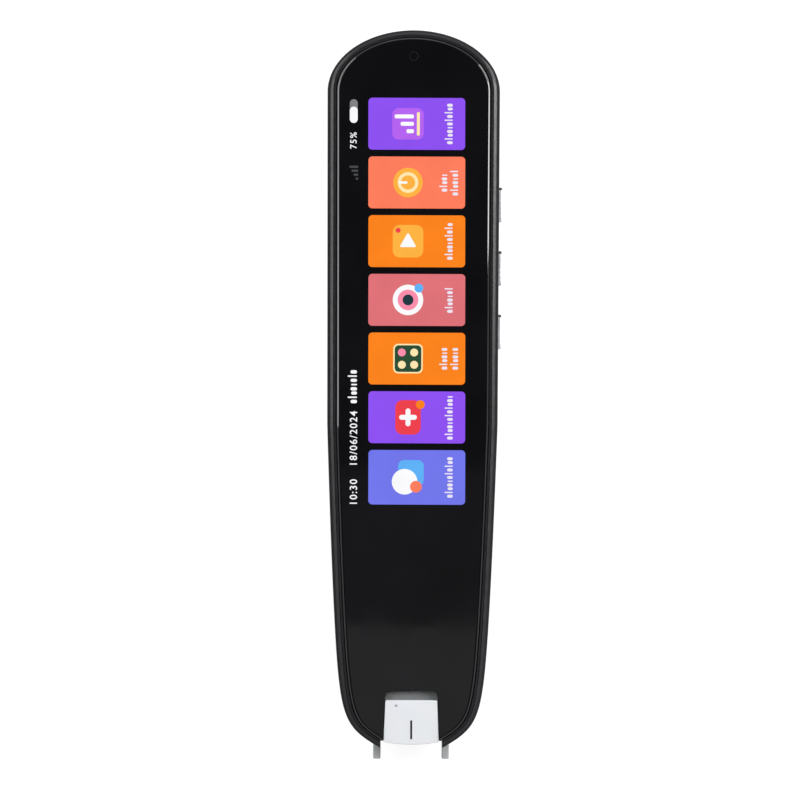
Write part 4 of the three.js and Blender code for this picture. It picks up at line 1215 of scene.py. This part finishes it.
# Length and height of the shapes that stand for letters, as shares of their pitch and height
LETTER_SHARES = [(0.8, 1.0), (0.35, 1.45), (0.75, 0.9), (0.8, 1.0), (0.35, 0.9), (0.75, 1.0), (0.35, 1.45)]
LETTER_PITCH_SHARE = 0.66
LETTER_ROUND_SHARE = 0.3
LABEL_HEIGHT = 1.15
LABEL_PITCH = 2.2
LABEL_V = -7.5

TILE_PITCH = 11.905
TILE_LENGTH = 10.53
TILE_WIDTH = 19.63
TILE_FIRST_Y = 53.76
TILE_V = -0.78
TILE_RADIUS = 0.8
LAST_TILE_EXTRA = 0.53
ICON_V = 1.0

STATUS_V = 12.0
STATUS_TEXTS = [("75%", 48.6, 1.85), ("10:30", -23.75, 2.1), ("18/06/2024", -15.8, 2.1)]
STATUS_WORD_U = -2.6
STATUS_WORD_LETTERS = 8
STATUS_WORD_HEIGHT = 1.3


def screen_x(u, v):
    """Where a place of the picture is across the body."""
    return -v - PICTURE_LEAN * (u - LEAN_START)


def screen_place(u, v, layer):
    """Where a shape of a layer starts, a little inside the one below it."""
    return (screen_x(u, v), u, GLASS_FACE - PICTURE_SINK + PICTURE_LAYER * (layer - 1))


def raise_shape(colour, corner=0.0, steps=1):
    """Draws up the flat shape that was just added, with its corners rounded, and lights it."""
    piece = new_piece("lit_shape")
    open_piece(piece, whole=True)
    bpy.ops.mesh.remove_doubles(threshold=SAME_PLACE)
    if corner:
        bpy.ops.mesh.bevel(offset=corner, segments=steps, affect="VERTICES")
        bpy.ops.mesh.select_all(action="SELECT")
    lift(z=PICTURE_SINK + PICTURE_LAYER)
    close_piece()
    piece.data.materials.clear()
    piece.data.materials.append(LIT[colour])
    return piece


def bar(u, v, length, height, radius, layer, colour):
    """A flat lit rectangle of the picture with round corners."""
    piece = add_shape(bpy.ops.mesh.primitive_plane_add, size=1, location=screen_place(u, v, layer))
    piece.scale = (height, length, 1)
    return raise_shape(colour, min(radius, min(length, height) / 2 - TINY), CORNER_STEPS)


def disc(u, v, radius, layer, colour):
    return bar(u, v, 2 * radius, 2 * radius, radius, layer, colour)


def arrow(u, v, radius, layer, colour):
    """A flat lit triangle that points along the reading direction."""
    add_circle(3, radius, screen_place(u, v, layer))
    return raise_shape(colour, radius * ARROW_CORNER_SHARE, ARROW_CORNER_STEPS)


def digits(text, u, v, size):
    """Plain numbers that read along +Y, as thin lit letters."""
    deselect_all()
    bpy.ops.object.text_add(location=screen_place(u, v, 1), rotation=(0, 0, math.pi / 2))
    letters = bpy.context.object.data
    letters.body = text
    letters.size = size
    letters.space_character = 1.18
    letters.offset = 0.02
    letters.resolution_u = 4
    letters.align_y = "CENTER"
    bpy.ops.object.convert(target="MESH")
    return raise_shape("white")


def word(u, v, letters, height, colour):
    """A row of beads and bars in place of a word."""
    pitch = LETTER_PITCH_SHARE * height
    beads = []
    for step in range(letters):
        length_share, height_share = LETTER_SHARES[step % len(LETTER_SHARES)]
        beads.append(bar(
            u + pitch * step, v + height * (height_share - 1) / 2, length_share * pitch,
            height_share * height, LETTER_ROUND_SHARE * height, 2, colour))
    return beads


def label(u, v, letters):
    """A word of small blocks, centred along the reading direction."""
    length = LETTER_PITCH_SHARE * LABEL_HEIGHT * (letters - 1)
    return word(u - length / 2, v, letters, LABEL_HEIGHT, "pale")


# Each icon's shapes: the kind, the place from the icon's middle, sizes, layer and colour
CHART_ICON = [
    (bar, 0, 0, 6.4, 6.4, 1.3, 2, "lilac"),
    (bar, -1.5, -0.45, 0.8, 1.5, 0.3, 3, "white"),
    (bar, 0, 0.15, 0.8, 2.7, 0.3, 3, "white"),
    (bar, 1.5, 0.75, 0.8, 3.9, 0.3, 3, "white"),
    (bar, 0, -2.1, 4.8, 0.6, 0.3, 3, "cream"),
]
DIAL_ICON = [
    (disc, 0, 0, 3.0, 2, "amber"),
    (disc, 0, 0, 2.1, 3, "cream"),
    (disc, 0, 0, 1.45, 3.5, "amber"),
    (bar, 0, 1.0, 0.5, 1.8, 0.25, 4, "white"),
]
PLAY_ICON = [
    (bar, 0, 0, 6.6, 6.2, 1.4, 2, "amber"),
    (arrow, -0.2, 0, 2.0, 3, "white"),
    (disc, 2.2, 2.0, 0.5, 3, "red"),
]
TARGET_ICON = [
    (disc, 0, 0, 3.1, 2, "white"),
    (disc, 0, 0, 2.1, 3, "pink"),
    (disc, 0, 0, 1.1, 4, "ink"),
    (disc, 2.4, -2.2, 0.9, 3, "sky"),
]
GRID_ICON = [
    (bar, 0, 0, 6.0, 6.0, 1.0, 2, "cream"),
    (bar, 0, 0, 5.4, 5.4, 0.8, 3, "forest"),
    (disc, -1.25, -1.25, 0.8, 4, "cream"),
    (disc, -1.25, 1.25, 0.8, 4, "cream"),
    (disc, 1.25, -1.25, 0.8, 4, "cream"),
    (disc, 1.25, 1.25, 0.8, 4, "pink"),
]
CROSS_ICON = [
    (bar, 0, 0, 7.0, 5.2, 1.5, 2, "red"),
    (bar, 0, 0, 3.6, 1.0, 0.5, 3, "white"),
    (bar, 0, 0, 1.0, 3.6, 0.5, 4, "white"),
    (disc, 2.6, -2.5, 0.9, 3, "orange"),
]
OVERLAP_ICON = [
    (bar, 0.9, -0.6, 5.2, 5.2, 1.2, 2, "sky"),
    (disc, -0.9, 0.7, 2.6, 3, "white"),
    (disc, -1.9, -1.6, 1.2, 4, "coral"),
]

# The status row's shapes, placed along the whole picture
STATUS_ICON = [
    (bar, 56.3, 0, 4.8, 1.6, 0.8, 1, "grey"),
    (bar, 55.55, 0, 3.3, 1.6, 0.8, 2, "white"),
    (bar, 42.6, -0.65, 0.45, 0.5, 0.12, 1, "dim"),
    (bar, 43.4, -0.44, 0.45, 0.92, 0.12, 1, "dim"),
    (bar, 44.2, -0.23, 0.45, 1.34, 0.12, 1, "dim"),
    (bar, 45.0, -0.02, 0.45, 1.76, 0.12, 1, "dim"),
]

# Each tile's colour, icon and letters in each row of its label
TILES = [
    ("violet", CHART_ICON, [11]),
    ("coral", DIAL_ICON, [5, 7]),
    ("orange", PLAY_ICON, [10]),
    ("rose", TARGET_ICON, [7]),
    ("orange", GRID_ICON, [6, 6]),
    ("violet", CROSS_ICON, [12]),
    ("periwinkle", OVERLAP_ICON, [11]),
]


def draw_icon(icon, u, v):
    return [draw(u + along, v + across, *rest) for draw, along, across, *rest in icon]


def model_tiles():
    """Seven tiles, each with an icon and a label; the last one is a little longer."""
    for index, (colour, icon, labels) in enumerate(TILES):
        extra = LAST_TILE_EXTRA if index == len(TILES) - 1 else 0.0
        u = TILE_FIRST_Y - TILE_PITCH * index - extra / 2
        parts = [bar(u, TILE_V, TILE_LENGTH + extra, TILE_WIDTH, TILE_RADIUS, 1, colour)]
        parts += draw_icon(icon, u, ICON_V)
        for row, letters in enumerate(labels):
            parts += label(u, LABEL_V + ((len(labels) - 1) / 2 - row) * LABEL_PITCH, letters)
        finish_piece(join_pieces(parts, f"picture_tile_{index + 1}"), "display")


def model_status_row():
    """A battery, plain numbers, a word of small blocks and signal bars."""
    row = draw_icon(STATUS_ICON, 0, STATUS_V)
    row += [digits(text, u, STATUS_V, size) for text, u, size in STATUS_TEXTS]
    row += word(STATUS_WORD_U, STATUS_V, STATUS_WORD_LETTERS, STATUS_WORD_HEIGHT, "white")
    finish_piece(join_pieces(row, "picture_status_row"), "display")


# The picture's studio

CAMERA_HEIGHT = 2.0
CAMERA_NEAR = 0.01
CAMERA_FAR = 20
SENSOR_WIDTH = 36.0
PHOTO_SIDE = 800
PHOTO_MM_PER_PIXEL = 0.20325
PHOTO_MIDDLE_X = -2.54
PHOTO_MIDDLE_Y = -2.26
PHOTO_ROLL = math.radians(0.235)
OUTLINE_HEIGHT = 0.008

# Soft boxes beside the object, beyond its ends and overhead: place, the way they look, width, length
# and glow, which is a box's brightness as a card, where 1 is white
LAMPS = {
    "right_box": ((0.6, 0.143, 0.475), (-1, 0, 0), 0.214, 0.57, 17.5),
    "right_wing": ((0.6, 0.425, 0.7), (-1, 0, 0), 0.35, 0.4, 9.0),
    "right_strip": ((0.6, 0.425, 0.155), (-1, 0, 0), 0.35, 0.21, 10.0),
    "left_box": ((-0.6, 0.1315, 0.56), (1, 0, 0), 0.297, 0.72, 6.7),
    "left_wing": ((-0.6, 0.54, 0.715), (1, 0, 0), 0.52, 0.37, 6.5),
    "left_strip": ((-0.6, 0.54, 0.155), (1, 0, 0), 0.52, 0.21, 6.0),
    "crown_card": ((0, 1.2, 0.2), (0, -1, 0), 0.7, 0.3, 0.8),
    "tip_card": ((0, -1.1, 0.35), (0, 1, 0), 0.8, 0.6, 1.6),
    "ceiling_card": ((0, -0.221, 1.0), (0, 0, -1), 0.4, 0.3, 0.27),
    "upper_card": ((0, -0.174, 1.1), (0, 0, -1), 0.4, 0.3, 0.1),
}

# How the world goes from white at the horizon to dark overhead, and how strongly it lights
WHITE_END_SHARE = 0.57
DARK_START_SHARE = 0.64
OVERHEAD_COLOUR = (0.03, 0.03, 0.032)
WORLD_LIGHT = 0.28

FLOOR_SIZE = 7
FLOOR_COLOUR = (0.17, 0.17, 0.17)
FLOOR_PATCHES = (0.18, 0.18, 0.18)
FLOOR_GLOW = 0.9


def add_camera():
    """Looks straight down, as the photograph does."""
    deselect_all()
    bpy.ops.object.camera_add(
        location=(PHOTO_MIDDLE_X * MM, PHOTO_MIDDLE_Y * MM, CAMERA_HEIGHT), rotation=(0, 0, PHOTO_ROLL))
    camera = bpy.context.object
    camera.name = "camera"
    field = PHOTO_SIDE * PHOTO_MM_PER_PIXEL * MM
    camera.data.sensor_width = SENSOR_WIDTH
    camera.data.lens = SENSOR_WIDTH * (CAMERA_HEIGHT - OUTLINE_HEIGHT) / field
    camera.data.clip_start = CAMERA_NEAR
    camera.data.clip_end = CAMERA_FAR
    bpy.context.scene.camera = camera


def add_lamps():
    for name, (place, way, width, length, glow) in LAMPS.items():
        turn = Vector(way).to_track_quat("-Z", "Y").to_euler()
        deselect_all()
        bpy.ops.object.light_add(type="AREA", location=place, rotation=turn)
        lamp = bpy.context.object
        lamp.name = name
        lamp.data.shape = "RECTANGLE"
        lamp.data.size = width
        lamp.data.size_y = length
        lamp.data.energy = glow * math.pi * width * length


def background_share(tree, lighting, seen):
    """A value that is one thing where the background is seen or mirrored and another where it gives light."""
    ray = wire(tree, "LightPath", "Is Camera Ray")
    rays = ray.node.outputs
    for other in ("Is Glossy Ray", "Is Transmission Ray"):
        ray = combine(tree, "MAXIMUM", ray, rays[other])
    return wire(tree, "MapRange", "Result", Value=ray, To_Min=lighting, To_Max=seen)


def add_world():
    """A pale studio: white behind the object, dimmer for its light and dark overhead."""
    world = bpy.data.worlds.new("studio")
    world.use_nodes = True
    tree = world.node_tree
    height = wire(tree, "SeparateXYZ", "Z", Vector=wire(tree, "TexCoord", "Generated"))
    colour = wire(tree, "ValToRGB", "Color", Fac=height)
    low, high = colour.node.color_ramp.elements
    low.position, low.color = WHITE_END_SHARE, (1, 1, 1, 1)
    high.position, high.color = DARK_START_SHARE, (*OVERHEAD_COLOUR, 1)
    strength = background_share(tree, WORLD_LIGHT, 1.0)
    fill(tree, tree.nodes["Background"], {"Color": colour, "Strength": strength})
    bpy.context.scene.world = world


def add_floor():
    """A plain floor, pale to the camera, that keeps the object's shadow."""
    floor = add_shape(bpy.ops.mesh.primitive_plane_add, size=FLOOR_SIZE)
    floor.name = "floor"
    finish = Finish("floor_pale", FLOOR_COLOUR, 0.8)
    finish.mottle(60, FLOOR_PATCHES)
    finish.set(Emission_Color=(1, 1, 1, 1))
    finish.set(Emission_Strength=background_share(finish.tree, 0.0, FLOOR_GLOW))
    floor.data.materials.append(finish.material)


dress_cad_nodes()
for model in (
        model_back_cover, model_front_frame, model_front_glass, model_nose, model_sight_line, model_foot,
        model_keys, model_port_sleeve, model_port_tongue, model_port_contacts, model_grille_net,
        model_sensor_ring, model_tiles, model_status_row, add_floor, add_camera, add_lamps, add_world):
    model()
bpy.context.scene.view_settings.view_transform = "Standard"
